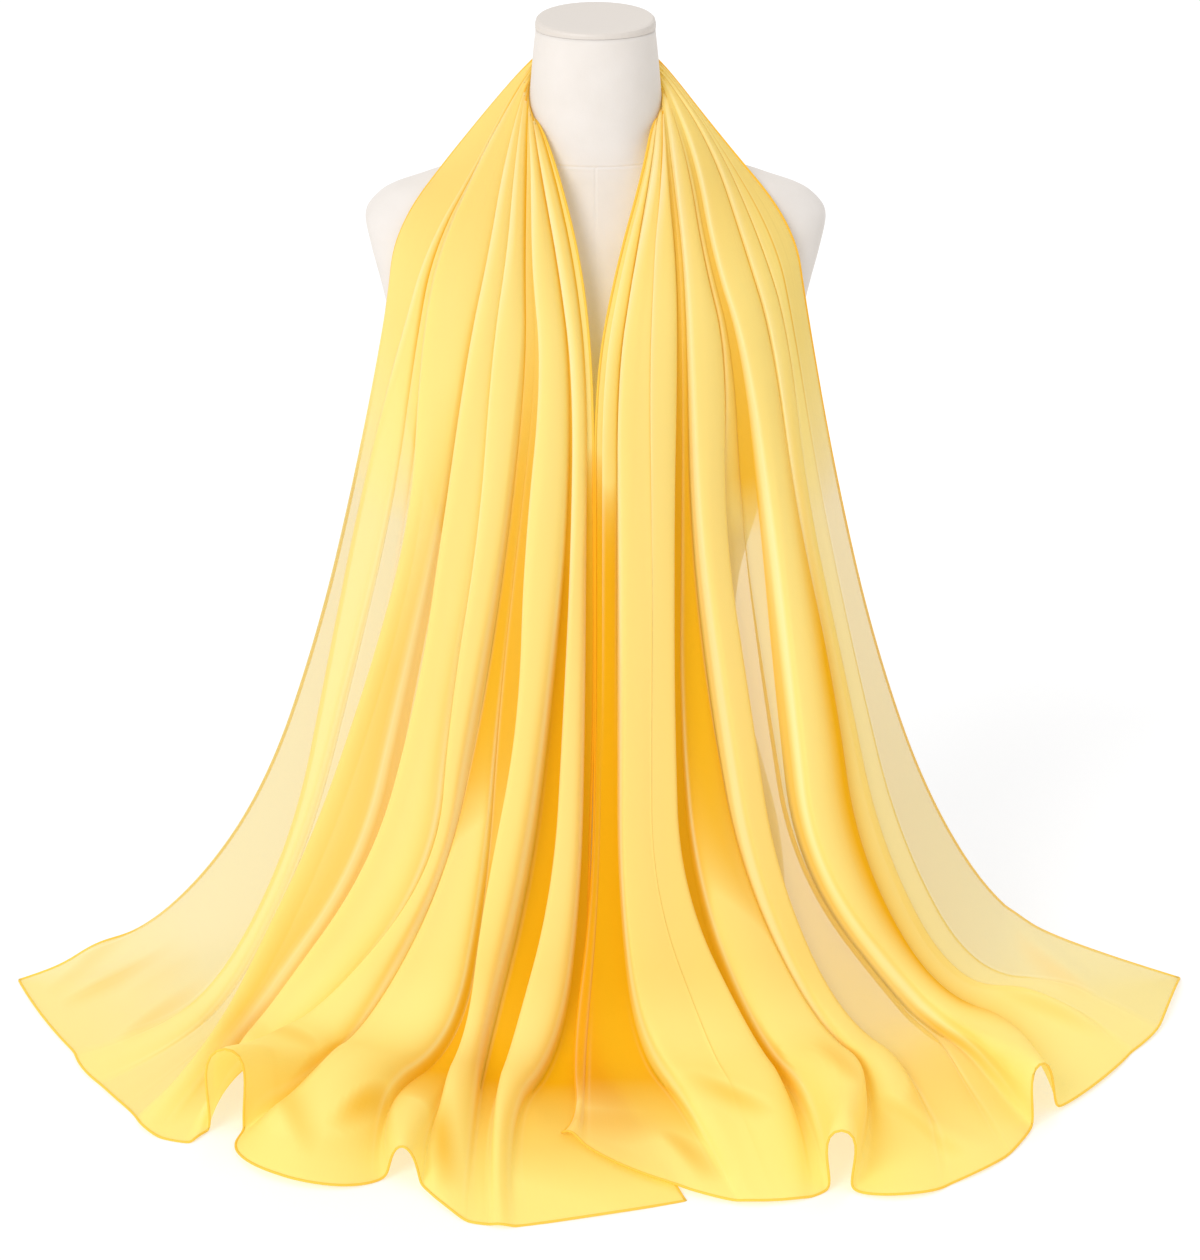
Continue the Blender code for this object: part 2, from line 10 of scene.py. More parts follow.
import bpy
import numpy as np
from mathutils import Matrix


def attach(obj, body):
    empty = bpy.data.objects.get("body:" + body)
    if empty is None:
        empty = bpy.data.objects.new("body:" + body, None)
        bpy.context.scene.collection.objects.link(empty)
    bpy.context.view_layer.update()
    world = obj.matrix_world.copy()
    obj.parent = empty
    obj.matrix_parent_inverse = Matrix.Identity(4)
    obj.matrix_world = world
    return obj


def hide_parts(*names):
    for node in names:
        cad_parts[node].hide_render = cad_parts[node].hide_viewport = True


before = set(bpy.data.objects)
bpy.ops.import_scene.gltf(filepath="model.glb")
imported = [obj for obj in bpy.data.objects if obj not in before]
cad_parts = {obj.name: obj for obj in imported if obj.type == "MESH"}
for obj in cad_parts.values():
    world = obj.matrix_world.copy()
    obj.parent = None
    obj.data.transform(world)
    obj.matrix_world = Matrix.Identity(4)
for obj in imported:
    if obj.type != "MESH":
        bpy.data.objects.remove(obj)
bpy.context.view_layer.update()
MM = 0.001
BODY = "root"
print("frame nodes:", sorted(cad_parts))

# %% [markdown]
# ## The camera
#
# A product photographer stands well back with a long lens and looks a little down on the form, so that the
# cloth on the floor shows. The camera is made first, and everything is judged through it.

# %% Camera
CAMERA_PLACE = (0.0035, -3.12, 1.431)
CAMERA_DIP = 19.75  # degrees below the horizon
FRAME_WIDTH_PX = 1200
FOCAL_PX = 4030  # the lens's focal length, in pixels of a picture that is FRAME_WIDTH_PX wide
SENSOR_MM = 36


def add_camera():
    data = bpy.data.cameras.new("camera")
    data.sensor_fit = "HORIZONTAL"
    data.sensor_width = SENSOR_MM
    data.lens = SENSOR_MM * FOCAL_PX / FRAME_WIDTH_PX
    camera = bpy.data.objects.new("camera", data)
    camera.location = CAMERA_PLACE
    camera.rotation_euler = (math.radians(90 - CAMERA_DIP), 0, 0)
    bpy.context.scene.collection.objects.link(camera)
    bpy.context.scene.camera = camera
    return camera


print("lens:", round(add_camera().data.lens, 1), "mm")

# %% [markdown]
# ## How the scarf's shape is described
#
# Draped cloth could be simulated, but a simulation seldom lands in the folds one wants. Here the folds are
# drawn instead, the way a fashion illustrator does: a fold line parts each fold from the next, and a short
# table says how far that line lies from the middle at each station down the body. Between two lines, a fold
# is an arch. The tables are nearly those of the solid model and the curve through them is the same, so the
# fine cloth lies on the coarse one.

# %% Stations and fold lines, in mm
# A station's cross section is half an oval: from the outer edge at the side, left or right mm out, side_y
# back and up_left or up_right high, to the front at x = 0, front_y out and front_up high. flare shapes the
# rise towards the side, and tilt is the way folds point: 0 is outwards and 90 is up. knife is how much a
# fold there is a pressed pleat with an edge that laps over its neighbour. flat is how much of the rest is a
# flat-topped band with steep sides, and not a round arch. share scales the folds' height.
STATION_COLUMNS = (
    "name", "left", "right", "side_y", "up_left", "up_right", "front_y", "front_up", "flare", "tilt", "knife",
    "flat", "share",
)
STATIONS = (
    ("collar", 105, 97, 4, 720, 724, -78, 708, 1.0, 0, 1.0, 0.0, 1.0),
    ("shoulder", 156, 155, -56, 664, 666, -107, 642, 1.0, 0, 1.0, 0.0, 0.7),
    ("chest", 163, 165, -60, 599, 601, -131, 563, 1.0, 0, 0.9, 0.5, 0.7),
    ("waist", 189, 190, -48, 466, 465, -133, 430, 1.0, 0, 0.45, 1.0, 0.85),
    ("hip", 223, 225, -42, 325, 316, -138, 290, 1.0, 0, 0.15, 1.0, 1.0),
    ("low", 272, 274, -30, 182, 173, -148, 140, 1.5, 10, 0.0, 1.0, 1.0),
    ("break", 338, 336, -20, 83, 70, -165, 2, 3.0, 50, 0.0, 0.9, 1.0),
    ("floor", 414, 402, -15, 27, 33, -290, 0, 3.0, 85, 0.0, 0.5, 1.0),
)

# A row is the line on a fold's outer side. neck is the fold's share of the band's width. collar to floor
# are the line's distances to the side, and hem_x and hem_y its end on the floor. rise is how much of the
# folds' height the line keeps, bed is its lift where the other half lies under it. chest_h to hem_h are the
# fold's heights, bow is how far its hem curves out, and lean is how far its crest leans to the left, as a
# share of its width. top, mid and low layers are how many layers of cloth lie on each other at the collar,
# at the hip and at the hem: one is see-through.
FOLD_COLUMNS = (
    "name", "neck", "collar", "shoulder", "chest", "waist", "hip", "low", "break", "floor", "hem_x", "hem_y",
    "rise", "bed", "chest_h", "hip_h", "break_h", "floor_h", "hem_h", "bow", "lean",
    "top_layers", "mid_layers", "low_layers",
)
LEFT_FOLDS = (
    ("outer_edge", 8, 105, 156, 163, 189, 223, 272, 338, 414, 488, -12, 0, 0, 3, 4, 6, 5, 1, 4, 0, 4.5, 1.0, 1.7),
    ("sheer", 8, 89, 128, 145, 179, 207, 238, 302, 362, 422, -156, 0.6, 0, 8, 10, 10, 7, 2, 6, 0, 5, 1.9, 2.0),
    ("veil", 3, 88, 124, 137, 157, 190, 229, 292, 343, 396, -210, 0.3, 0, 3, 3, 3, 3, 2, 2, 0, 5, 1.0, 1.9),
    ("gap_c", 3, 86, 119, 130, 147, 173, 222, 284, 327, 370, -252, 0.3, 0, 0, 0, 0, 1, 0, 0, 0, 4, 1.0, 1.8),
    ("fold_c", 8, 83, 116, 127, 133, 166, 215, 280, 323, 359, -272, 0.1, 0, 16, 24, 24, 12, 3, 5, 0.15, 6, 2.6, 3.0),
    ("gap_d", 3, 68, 79, 95, 116, 143, 174, 263, 311, 338, -305, 0, 0, 0, 0, 0, 0, 0, 1, 0, 5, 1.3, 3.2),
    ("fold_d", 8, 66, 77, 92, 110, 127, 166, 255, 305, 314, -314, 0, 0, 15, 24, 20, 8, 3, 0, 0.2, 6, 4.0, 4.5),
    ("fold_e", 8, 59, 64, 75, 84, 105, 121, 217, 296, 302, -292, 0, 0, 12, 20, 26, 36, 80, 0, 0, 6, 5, 4),
    ("sweep", 4, 53, 54, 53, 67, 88, 115, 180, 228, 273, -292, 0, 0, 1, 1, 24, 46, 6, 56, 0, 6, 6, 4),
    ("curl_b", 4, 50, 49, 45, 60, 76, 86, 108, 175, 159, -370, 0, 0, 0, 2, 4, 16, 38, 0, 0, 6, 6, 4),
    ("tube", 8, 46, 44, 37, 49, 52, 76, 99, 127, 132, -388, 0.1, 0, 14, 36, 40, 24, 5, 4, 0.15, 6, 6, 4.5),
    ("recess_g", 3, 41, 28, 18, 22, 34, 53, 88, 95, 96, -442, 0, 0, 0, 0, 2, 4, 1, 1, 0, 6, 6, 5),
    ("fold_g", 8, 38, 25, 15, 17, 23, 31, 62, 86, 78, -446, 0, 0, 13, 26, 32, 20, 5, 4, 0.15, 6, 6, 4.5),
    ("flap", 3, 31, 15, 6, 7, 8, 11, 26, 73, 60, -449, 0, 0, 0, 0, 0, 2, 1, 3, 0, 6, 6, 4),
    ("inner_edge", 0, 28, 10, 2, 1, 1, 6, 6, -31, -68, -408, 0, 0, 0, 0, 0, 0, 0, 0, 0, 6, 6, 3),
)
RIGHT_FOLDS = (
    ("outer_edge", 6, 97, 155, 165, 190, 225, 274, 336, 402, 494, -8, 0, 0, 2, 3, 5, 4, 9, 2, 0, 4.5, 1.0, 1.5),
    ("sheer", 6, 96, 140, 154, 176, 207, 243, 309, 395, 463, -110, 0.6, 0, 3, 5, 8, 6, 1, 3, 0, 5, 1.5, 1.8),
    ("soft", 6, 95, 129, 149, 164, 194, 224, 291, 388, 435, -152, 0.3, 0, 8, 10, 14, 10, 3, 6, 0, 6, 2.6, 2.4),
    ("fold_r", 8, 91, 116, 137, 153, 180, 200, 270, 356, 364, -258, 0.1, 0, 14, 22, 24, 24, 54, 0, 0.28, 6, 3.4, 4.0),
    ("gap_r", 3, 77, 90, 113, 129, 143, 161, 256, 306, 341, -286, 0, 0, 0, 0, 2, 4, 3, 3, 0, 6, 1.3, 3.0),
    ("shade", 4, 74, 87, 107, 114, 133, 157, 252, 294, 319, -332, 0.1, 0, 3, 8, 12, 8, 3, 6, 0, 6, 1.1, 3.5),
    ("fold_k", 8, 71, 83, 102, 96, 112, 133, 192, 266, 266, -383, 0.1, 0, 16, 28, 30, 22, 5, 24, 0.2, 6, 3.6, 4.5),
    ("ridge", 3, 59, 68, 71, 74, 90, 114, 174, 229, 194, -391, 0, 0, 1, 3, 24, 34, 66, 0, 0, 6, 6, 4),
    ("recess_k", 3, 57, 65, 67, 67, 66, 76, 124, 171, 177, -390, 0, 0, 0, 0, 0, 3, 1, 2, 0, 6, 6, 5),
    ("big_outer", 6, 54, 63, 64, 58, 56, 60, 115, 166, 163, -402, 0, 0, 15, 34, 36, 18, 3, 3, 0, 6, 6, 4.5),
    ("big_inner", 6, 49, 44, 40, 39, 37, 38, 77, 112, 134, -412, 1.0, 0, 15, 34, 36, 18, 3, 3, 0.2, 6, 6, 4.5),
    ("recess_in", 6, 43, 30, 17, 17, 17, 17, 31, 79, 106, -412, 0, 5, 7, 0, 0, 4, 2, 18, 0.1, 6, 6, 4),
    ("corner", 3, 39, 20, 6, 5, 5, 3, -8, -9, -12, -322, 0.2, 9, 0, 0, 2, 3, 15, 2, 0, 6, 6, 3),
    ("inner_edge", 0, 37, 16, 0, 0, 0, -2, -18, -13, -26, -305, 0, 10, 0, 0, 0, 0, 0, 0, 0, 6, 6, 3),
)
LEFT, RIGHT = -1, 1
LINE_STATIONS = ("collar", "shoulder", "chest", "waist", "hip", "low", "break", "floor")
STATION_COUNT = 5 + len(LINE_STATIONS)  # nape, rear, flank and side on the neck, then these, then the hem
LAST = STATION_COUNT - 2  # the curve's parameter at the hem
HEIGHT_STATIONS = (0, 3, 4, 6, 8, 10, 11, 12)  # neck, neck, collar, then where chest_h to hem_h apply
BED_STATIONS = (8, 9, 10, 11, 12)
BED_SHARES = (0, 0.2, 1.1, 0.6, 0.45)  # of the bed's lift, at those stations
BAND_RADIUS = (52.2 * MM, 55.5 * MM)  # at the band's upper and lower edges
BAND_TURNS = (68, 126)  # degrees from the nape to the side, along the band's upper and lower edges
BAND_TOP = (778 * MM, 780 * MM, 784 * MM, 784 * MM)  # heights at nape, rear, flank and side
BAND_BOTTOM = (738 * MM, 738 * MM, 740 * MM, 746 * MM)
BAND_END = 1.6  # the parameter where the neck band ends and the two halves begin

# %% [markdown]
# ## From tables to smooth lines
#
# A quadratic B-spline is a good curve for cloth: it is smooth, it never swings past its control points, and
# two lines that keep their order at the stations keep it in between. So folds never cross by accident.

# %% Lines through the stations
def column(rows, columns, name):
    """One column of a table."""
    return np.array([row[columns.index(name)] for row in rows])


def spline_weights(v, count):
    """Weights of a quadratic B-spline with clamped ends: a row for each v in 0 to count - 2, and a column
    for each control point. Each degree blends two neighbours in proportion to how far v lies between their
    knots."""
    v = np.atleast_1d(np.asarray(v, float))
    knots = np.concatenate([[0, 0], np.arange(count - 1), [count - 2, count - 2]]).astype(float)
    inside = np.minimum(v, count - 2 - 1e-9)[:, None]
    weights = ((knots[:-1] <= inside) & (inside < knots[1:])).astype(float)
    for degree in (1, 2):
        start, end = knots[: -degree - 1], knots[degree + 1 :]
        run_in = np.maximum(knots[degree:-1] - start, 1e-12)
        run_out = np.maximum(end - knots[1:-degree], 1e-12)
        weights = (inside - start) / run_in * weights[:, :-1] + (end - inside) / run_out * weights[:, 1:]
    return weights


def neck_controls(side, folds):
    """Control points of each line round the neck. A line turns 0, 1, 3 and 5 equal steps from the nape, and
    the middle points stand out by 1 / cos(step), so that the curve keeps to the round band."""
    share = np.concatenate([[0], np.cumsum(column(folds, FOLD_COLUMNS, "neck"))[:-1]])
    share = share / share[-1]
    step = np.radians(BAND_TURNS[0] + (BAND_TURNS[1] - BAND_TURNS[0]) * share) / 5
    turns = np.stack([0 * step, step, 3 * step, 5 * step], 1)
    radius = (BAND_RADIUS[0] + (BAND_RADIUS[1] - BAND_RADIUS[0]) * share)[:, None]
    even = np.ones_like(step)
    radius = radius / np.stack([even, np.cos(step), np.cos(step), even], 1)
    top, bottom = np.array(BAND_TOP), np.array(BAND_BOTTOM)
    up = top + (bottom - top) * share[:, None]
    return np.stack([side * radius * np.sin(turns), radius * np.cos(turns), up], 2)


def oval_controls(side, folds):
    """Control points from collar to floor: a line at distance a from the middle lies at the angle asin(a /
    edge) on its station's half oval, and rises from the front towards the side with that angle."""
    edge = column(STATIONS, STATION_COLUMNS, "left" if side == LEFT else "right")
    edge_up = column(STATIONS, STATION_COLUMNS, "up_left" if side == LEFT else "up_right")
    side_y, front_y = (column(STATIONS, STATION_COLUMNS, name) for name in ("side_y", "front_y"))
    front_up, flare = (column(STATIONS, STATION_COLUMNS, name) for name in ("front_up", "flare"))
    across = np.stack([column(folds, FOLD_COLUMNS, name) for name in LINE_STATIONS], 1)
    angle = np.arcsin(np.clip(across / edge, -1, 1))
    up = front_up + (edge_up - front_up) * np.abs(angle / (math.pi / 2)) ** flare
    return np.stack([side * across, side_y + (front_y - side_y) * np.cos(angle), up], 2) * MM


def line_controls(side, folds):
    """All control points: a row for each line, a column for each station."""
    hem = [side * column(folds, FOLD_COLUMNS, "hem_x"), column(folds, FOLD_COLUMNS, "hem_y")]
    hem = np.stack([*hem, 0 * hem[0]], 1)[:, None] * MM
    return np.concatenate([neck_controls(side, folds), oval_controls(side, folds), hem], 1)


def along_stations(values, at):
    """Values at some stations, spread linearly over all of them."""
    return np.stack([np.interp(np.arange(STATION_COUNT), at, row) for row in values])


def station_values(name, neck, hem):
    """One of the stations' columns for all the stations, with values for the neck and the hem."""
    return np.array([neck] * 4 + list(column(STATIONS, STATION_COLUMNS, name)) + [hem], float)


print("fold lines:", len(LEFT_FOLDS), "left,", len(RIGHT_FOLDS), "right, over", STATION_COUNT, "stations")

# %% [markdown]
# ## How high each fold stands
#
# A fold can't stand much higher than it is wide, or the cloth would run through itself. So the tables'
# heights are eased down where the lines run close together, as they do in the gathers.

# %% Heights of the folds
NECK_PLEAT = 1.3  # mm: how proud the pleats are round the neck
PLEATED_FROM = 4  # a fold with a larger share than this of the band's width is a pleat there
COLLAR_SHARE = 0.45  # heights at the collar, as a share of chest_h
FOLD_STEEPNESS = 1.7  # the most that a fold's height may be, as a share of its width less NARROWEST
HEM_STEEPNESS = 4.0  # the same on the hem, which stands up in narrow loops
NARROWEST = 1.0 * MM
LEAST_LIMIT = 0.5 * MM  # a fold of no width may still be this high
EASING = 3  # how sharply a height bends over at its limit
LOOP_HEIGHTS = (20, 45)  # mm: a fold of the hem is a loop from the first height, and fully at the second


def limited_heights(heights, lines, on_hem):
    """Heights of the folds, eased to stay under FOLD_STEEPNESS times their width less NARROWEST, or under
    HEM_STEEPNESS times it on the hem: h / (1 + (h / limit)^EASING)^(1 / EASING)."""
    steepness = FOLD_STEEPNESS + (HEM_STEEPNESS - FOLD_STEEPNESS) * on_hem
    width = np.linalg.norm(np.diff(lines, axis=1), axis=2)
    width = np.concatenate([width, width[:, -1:]], 1)
    limit = steepness * np.maximum(width - NARROWEST, 0) + LEAST_LIMIT
    return heights / (1 + (heights / limit) ** EASING) ** (1 / EASING), width


def fold_heights(folds):
    """How far each fold stands proud at each station, after the stations' share."""
    pleat = np.where(column(folds, FOLD_COLUMNS, "neck") > PLEATED_FROM, NECK_PLEAT, 0)
    given = [column(folds, FOLD_COLUMNS, name + "_h") for name in ("chest", "hip", "break", "floor", "hem")]
    heights = np.stack([pleat, pleat, COLLAR_SHARE * given[0], *given], 1)
    return along_stations(heights, HEIGHT_STATIONS) * station_values("share", 1, 1) * MM


def loop_share(folds):
    """How much each fold is a tall loop at the hem, from 0 to 1."""
    height = column(folds, FOLD_COLUMNS, "hem_h")
    return np.clip((height - LOOP_HEIGHTS[0]) / np.ptp(LOOP_HEIGHTS), 0, 1)


def line_lifts(folds, weights, heights):
    """Two heights of each line: its own, a share of the mean of its two folds', and its lift over the other
    half."""
    own = 0.5 * (heights + np.roll(heights, 1, axis=1)) * column(folds, FOLD_COLUMNS, "rise")
    bed = np.array(BED_SHARES[1:]) * column(folds, FOLD_COLUMNS, "bed")[:, None] * MM
    bed = along_stations(np.pad(bed, ((0, 0), (1, 0))), BED_STATIONS)
    return own, weights @ bed.T


for half in (LEFT_FOLDS, RIGHT_FOLDS):
    print("a half's highest fold:", round(float(fold_heights(half).max() / MM)), "mm")

# %% [markdown]
# ## Profiles across a fold
#
# Chiffon that hangs from a gathered neck is pressed into flat pleats near the top: each pleat is a flat
# band whose left edge laps over the band beside it, so one sees a crisp light edge next to a thin deep
# line. Further down the same pleats open into round tubes and flat-topped bands, and on the floor some rise
# as narrow loops. Each profile is a function of t, the way across one fold from 0 to 1, and each station
# says how they mix.

# %% Profiles
KNIFE_CREST = 0.10  # where a pressed pleat's crest lies across the fold
KNIFE_POWER = 0.8  # under 1 keeps a pleat full
KNIFE_LAP = 6 * MM  # how far its edge laps over the next fold to the left
LAP_MOST = 0.4  # but never more than this share of its width
LAP_PLACE = 0.8 * KNIFE_CREST  # where across the fold the lap is widest
LAP_REACH = 0.9 * KNIFE_CREST
SIDE_BULGE = 0.09  # how far an open fold swells to both sides, as a share of its width
LOOP_BULGE = 0.18  # the same for a loop on the hem
LOOP_WIDTH = 0.5  # a tall loop swells to this share of its height
ARCH_POWER = 0.85  # how full an arch is: 1 is a sine
HEM_POWER = 1.9  # an arch on the hem leaves the floor softly
LOOP_POWER = 1.7  # but a tall loop of it has a narrow foot and a round top
BAND_POWER = 4  # how flat a flat-topped band is


def leftward(side, t):
    """t counted from the fold's left border, as the viewer sees it: the right half's columns run the other
    way."""
    return t if side == LEFT else 1 - t


def knife_profile(t):
    """A pressed pleat: up a quarter sine to the crest, then down a quarter cosine, both to KNIFE_POWER."""
    rise = np.sin(math.pi / 2 * np.clip(t / KNIFE_CREST, 0, 1))
    fall = np.cos(math.pi / 2 * np.clip((t - KNIFE_CREST) / (1 - KNIFE_CREST), 0, 1))
    return np.where(t < KNIFE_CREST, rise**KNIFE_POWER, np.abs(fall) ** KNIFE_POWER)


def open_profile(t, flat, loop, on_floor):
    """An open fold: the arch sin(pi t)^power, mixed by flat with the band sqrt(1 - |2t - 1|^BAND_POWER)."""
    on_hem = (1 - loop) * HEM_POWER + loop * LOOP_POWER
    arch = np.abs(np.sin(math.pi * t)) ** (ARCH_POWER + (on_hem - ARCH_POWER) * on_floor)
    return (1 - flat) * arch + flat * np.sqrt(1 - np.abs(2 * t - 1) ** BAND_POWER)


def lapping(t, width):
    """How far a pressed pleat's edge laps over, as a share of its width: a bump exp(-((t - LAP_PLACE) /
    LAP_REACH)^2), less what it would move the fold's own border."""
    at_border = math.exp(-((LAP_PLACE / LAP_REACH) ** 2))
    bump = np.exp(-(((t - LAP_PLACE) / LAP_REACH) ** 2)) - at_border * (1 - t)
    return np.minimum(KNIFE_LAP / width, LAP_MOST) * bump * (t < 1)


def swelling(t, looped, steepness, lean):
    """How far an open fold swells to both sides, as a share of its width: bulge (sin(2 pi t) - looped sin(4
    pi t) / 2), with its crest moved by lean sin(pi t)^2."""
    tall = np.maximum(0, LOOP_WIDTH * steepness - 1) / 2
    bulge = SIDE_BULGE + looped * (LOOP_BULGE - SIDE_BULGE + tall)
    both_sides = np.sin(2 * math.pi * t) - 0.5 * looped * np.sin(4 * math.pi * t)
    return bulge * both_sides - lean * np.sin(math.pi * t) ** 2


print("a pressed pleat at t = 0, 0.1, 0.5, 1:", knife_profile(np.array([0, 0.1, 0.5, 1])).round(2))

# %% [markdown]
# ## The cloth's surface
#
# The surface puts lines, heights and profiles together. It also gives painted shade where a pleat tucks in and a
# painted highlight where its edge catches the light, because such lines are finer than the grid, so the material
# paints them.

# %% Surface of one half
KNIFE_TUCK = 1.1 * MM  # how far the cloth dips behind a pleat's edge
TUCK_POWER = 6  # how close to the edge it does
SOLID_HEIGHT = 6 * MM  # a fold this high laps and swells in full
NEAR_FLOOR = 0.4  # how much a fold already has of its hem's profile at the floor station
CREASE_WIDTH = 2.0 * MM  # how wide the painted shade is where a pleat tucks in
CREASE_MOST = 0.3  # but never wider than this share of the pleat
CREASE_HEIGHT = 2.0 * MM  # a pleat this high has its full painted shade in the tuck
EDGE_WIDTH = 1.2 * MM  # how wide the painted highlight is on a pleat's pressed edge
BAND_CORNER = 0.07  # where a flat-topped band's edge lies across the fold, which gets a painted highlight


def pleat_tuck_shade(t, height, width):
    """Painted shade where a pressed pleat tucks in, from 0 to 1: exp(-(d / CREASE_WIDTH)^2) at distance d from its
    right border."""
    reach = np.minimum(CREASE_WIDTH, CREASE_MOST * width)
    return np.minimum(1, height / CREASE_HEIGHT) * np.exp(-(((1 - t) * width / reach) ** 2))


def painted_highlight_line(t, place, width):
    """A fine painted highlight along a fold, from 0 to 1: exp(-(d / EDGE_WIDTH)^2) at distance d from its place."""
    return np.exp(-(((t - place) * width / EDGE_WIDTH) ** 2))


def half_surface(side, folds, fold, t, v):
    """Points of one half of the scarf. fold and t, from 0 to 1 across that fold, give the columns, and v gives the
    rows, from 0 at the nape to LAST at the hem. A point lies between the fold's two lines, moved sideways by the
    fold's swell and lap. It stands proud of them by the lines' own height, plus the fold's height times its profile,
    a mix of the open one and the knife. Also gives that lift, the painted shade where the pressed pleats tuck in, and
    the painted highlights on their edges and on the flat bands' corners."""
    weights = spline_weights(v, STATION_COUNT)
    lines = np.einsum("vs,lsk->vlk", weights, line_controls(side, folds))
    heights, widths = limited_heights(weights @ fold_heights(folds).T, lines, weights[:, -1:])
    height, width, turned = heights[:, fold], widths[:, fold], leftward(side, t)
    knife = (weights @ station_values("knife", 1, 0))[:, None]
    flat = (weights @ station_values("flat", 0, 0))[:, None]
    tilt = np.radians(weights @ station_values("tilt", 0, 90))[:, None, None]
    solid = np.minimum(1, height / SOLID_HEIGHT)
    on_floor = weights[:, -1:] + NEAR_FLOOR * weights[:, -2:-1]
    loop = loop_share(folds)[fold]
    lean = side * column(folds, FOLD_COLUMNS, "lean")[fold]
    swell = swelling(t, loop * np.minimum(on_floor, 1), height / width, lean)
    across = (t - solid * ((1 - knife) * swell - side * knife * lapping(turned, width)))[..., None]
    points = lines[:, fold] * (1 - across) + lines[:, fold + 1] * across

    own, bed = line_lifts(folds, weights, heights)
    base = own[:, fold] * (1 - t) + own[:, fold + 1] * t
    profile = (1 - knife) * open_profile(t, flat, loop, on_floor) + knife * knife_profile(turned)
    dip = KNIFE_TUCK * knife * solid * turned**TUCK_POWER
    lift = base + np.maximum(height - base, 0) * profile - dip + bed[:, fold] * (1 - t) + bed[:, fold + 1] * t
    outward = points * (1, 1, 0)
    outward /= np.linalg.norm(outward, axis=2, keepdims=True)
    proud = np.cos(tilt) * outward + np.sin(tilt) * np.array((0, 0, 1))
    bow = column(folds, FOLD_COLUMNS, "bow")[fold] * MM * np.sin(math.pi * t) * weights[:, -1:]
    points = points + lift[..., None] * proud + bow[..., None] * outward

    # painted highlights on the flat bands' corners and the pressed pleats' edges, and painted shade where the pleats
    # tuck in
    rise = column(folds, FOLD_COLUMNS, "rise")
    raised = np.where(t < 0.5, rise[fold], rise[fold + 1])
    corners = painted_highlight_line(np.minimum(t, 1 - t), BAND_CORNER, width) * (1 - raised)
    edge = solid * (knife * painted_highlight_line(turned, KNIFE_CREST / 2, width) + (1 - knife) * flat * corners)
    return points, lift, knife * pleat_tuck_shade(turned, height, width), edge


outer_edge = half_surface(LEFT, LEFT_FOLDS, np.array([0]), np.array([0.0]), np.array([0.0, LAST]))[0][:, 0]
print("the left half's outer edge runs from", outer_edge[0].round(3), "to", outer_edge[1].round(3))

# %% [markdown]
# ## Columns, rows and the mesh
#
# The grid is finer where the cloth bends most: at each pleat's edge, and where the cloth lands on the floor. Every
# point also keeps what the material reads: how many layers of cloth lie there, how much painted shade and how much
# painted highlight it gets, and its place on the flat cloth in metres, which is the UV map that the weave follows.

# %% Grid and mesh helpers
CUT_LENGTH = 3.5 * MM  # about how far apart the columns are where a fold is widest
CUTS = (10, 44)  # fewest and most columns a fold
CUT_BUNCHING = 0.1  # how much closer the columns are at the fold's two borders
CUT_PLACES = np.linspace(4, LAST, 40)  # from the collar to the hem: where the folds' widths are measured
ROW_COUNT = 300
ROW_BUNCHING = 0.06  # how much closer together the rows are where the cloth lands


def fold_columns(side, folds):
    """(fold, t) of each column: more for a wider fold, and closer together at its borders, t = u - k sin(2
    pi u)."""
    weights = spline_weights(CUT_PLACES, STATION_COUNT)
    lines = np.einsum("vs,lsk->vlk", weights, line_controls(side, folds))
    heights, widths = limited_heights(weights @ fold_heights(folds).T, lines, weights[:, -1:])
    length = (widths + heights).max(axis=0)[:-1]
    cuts = np.clip(np.round(length / CUT_LENGTH), *CUTS).astype(int)
    fold = np.repeat(np.arange(len(cuts)), cuts)
    even = np.concatenate([np.arange(count) / count for count in cuts])
    t = even - CUT_BUNCHING * np.sin(2 * math.pi * even)
    return np.append(fold, len(cuts) - 1), np.append(t, 1)


def row_places():
    """Rows from the band's end to the hem, closer together from break to hem: v = u + k sin(pi u)^2."""
    even = np.linspace(0, 1, ROW_COUNT)
    return BAND_END + (LAST - BAND_END) * (even + ROW_BUNCHING * np.sin(math.pi * even) ** 2)


def grid_mesh(name, points, flipped=False):
    """A mesh of quads over a grid of points (rows, columns, 3)."""
    rows, columns = points.shape[:2]
    index = np.arange(rows * columns).reshape(rows, columns)
    corners = (index[:-1, :-1], index[:-1, 1:], index[1:, 1:], index[1:, :-1])
    faces = np.stack([corner.reshape(-1) for corner in corners], 1)
    if flipped:
        faces = faces[:, ::-1]
    mesh = bpy.data.meshes.new(name)
    mesh.from_pydata(points.reshape(-1, 3), [], faces)
    mesh.shade_smooth()
    return mesh


def add_object(name, mesh, material):
    mesh.materials.append(material)
    piece = bpy.data.objects.new(name, mesh)
    bpy.context.scene.collection.objects.link(piece)
    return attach(piece, BODY)


def keep_attribute(mesh, name, values):
    """One number for each point, which the material reads by name."""
    attribute = mesh.attributes.new(name, "FLOAT", "POINT")
    attribute.data.foreach_set("value", np.asarray(values, np.float32).reshape(-1))


def keep_uv(mesh, u, v):
    """A UV map in metres of flat cloth, given for each point and stored for each face corner."""
    corner_points = np.empty(len(mesh.loops), np.int32)
    mesh.loops.foreach_get("vertex_index", corner_points)
    both = np.stack([u.reshape(-1), v.reshape(-1)], 1)[corner_points]
    mesh.uv_layers.new(name="cloth").data.foreach_set("uv", both.astype(np.float32).reshape(-1))


def run_lengths(points, axis):
    """Length along the grid's rows or columns up to each point."""
    steps = np.linalg.norm(np.diff(points, axis=axis), axis=2)
    start = np.zeros_like(steps[:1] if axis == 0 else steps[:, :1])
    return np.concatenate([start, np.cumsum(steps, axis=axis)], axis)


def area_of(mesh):
    areas = np.empty(len(mesh.polygons), np.float32)
    mesh.polygons.foreach_get("area", areas)
    return float(areas.sum())


print("grid:", ROW_COUNT, "rows and", len(fold_columns(LEFT, LEFT_FOLDS)[0]), "columns on the left half")

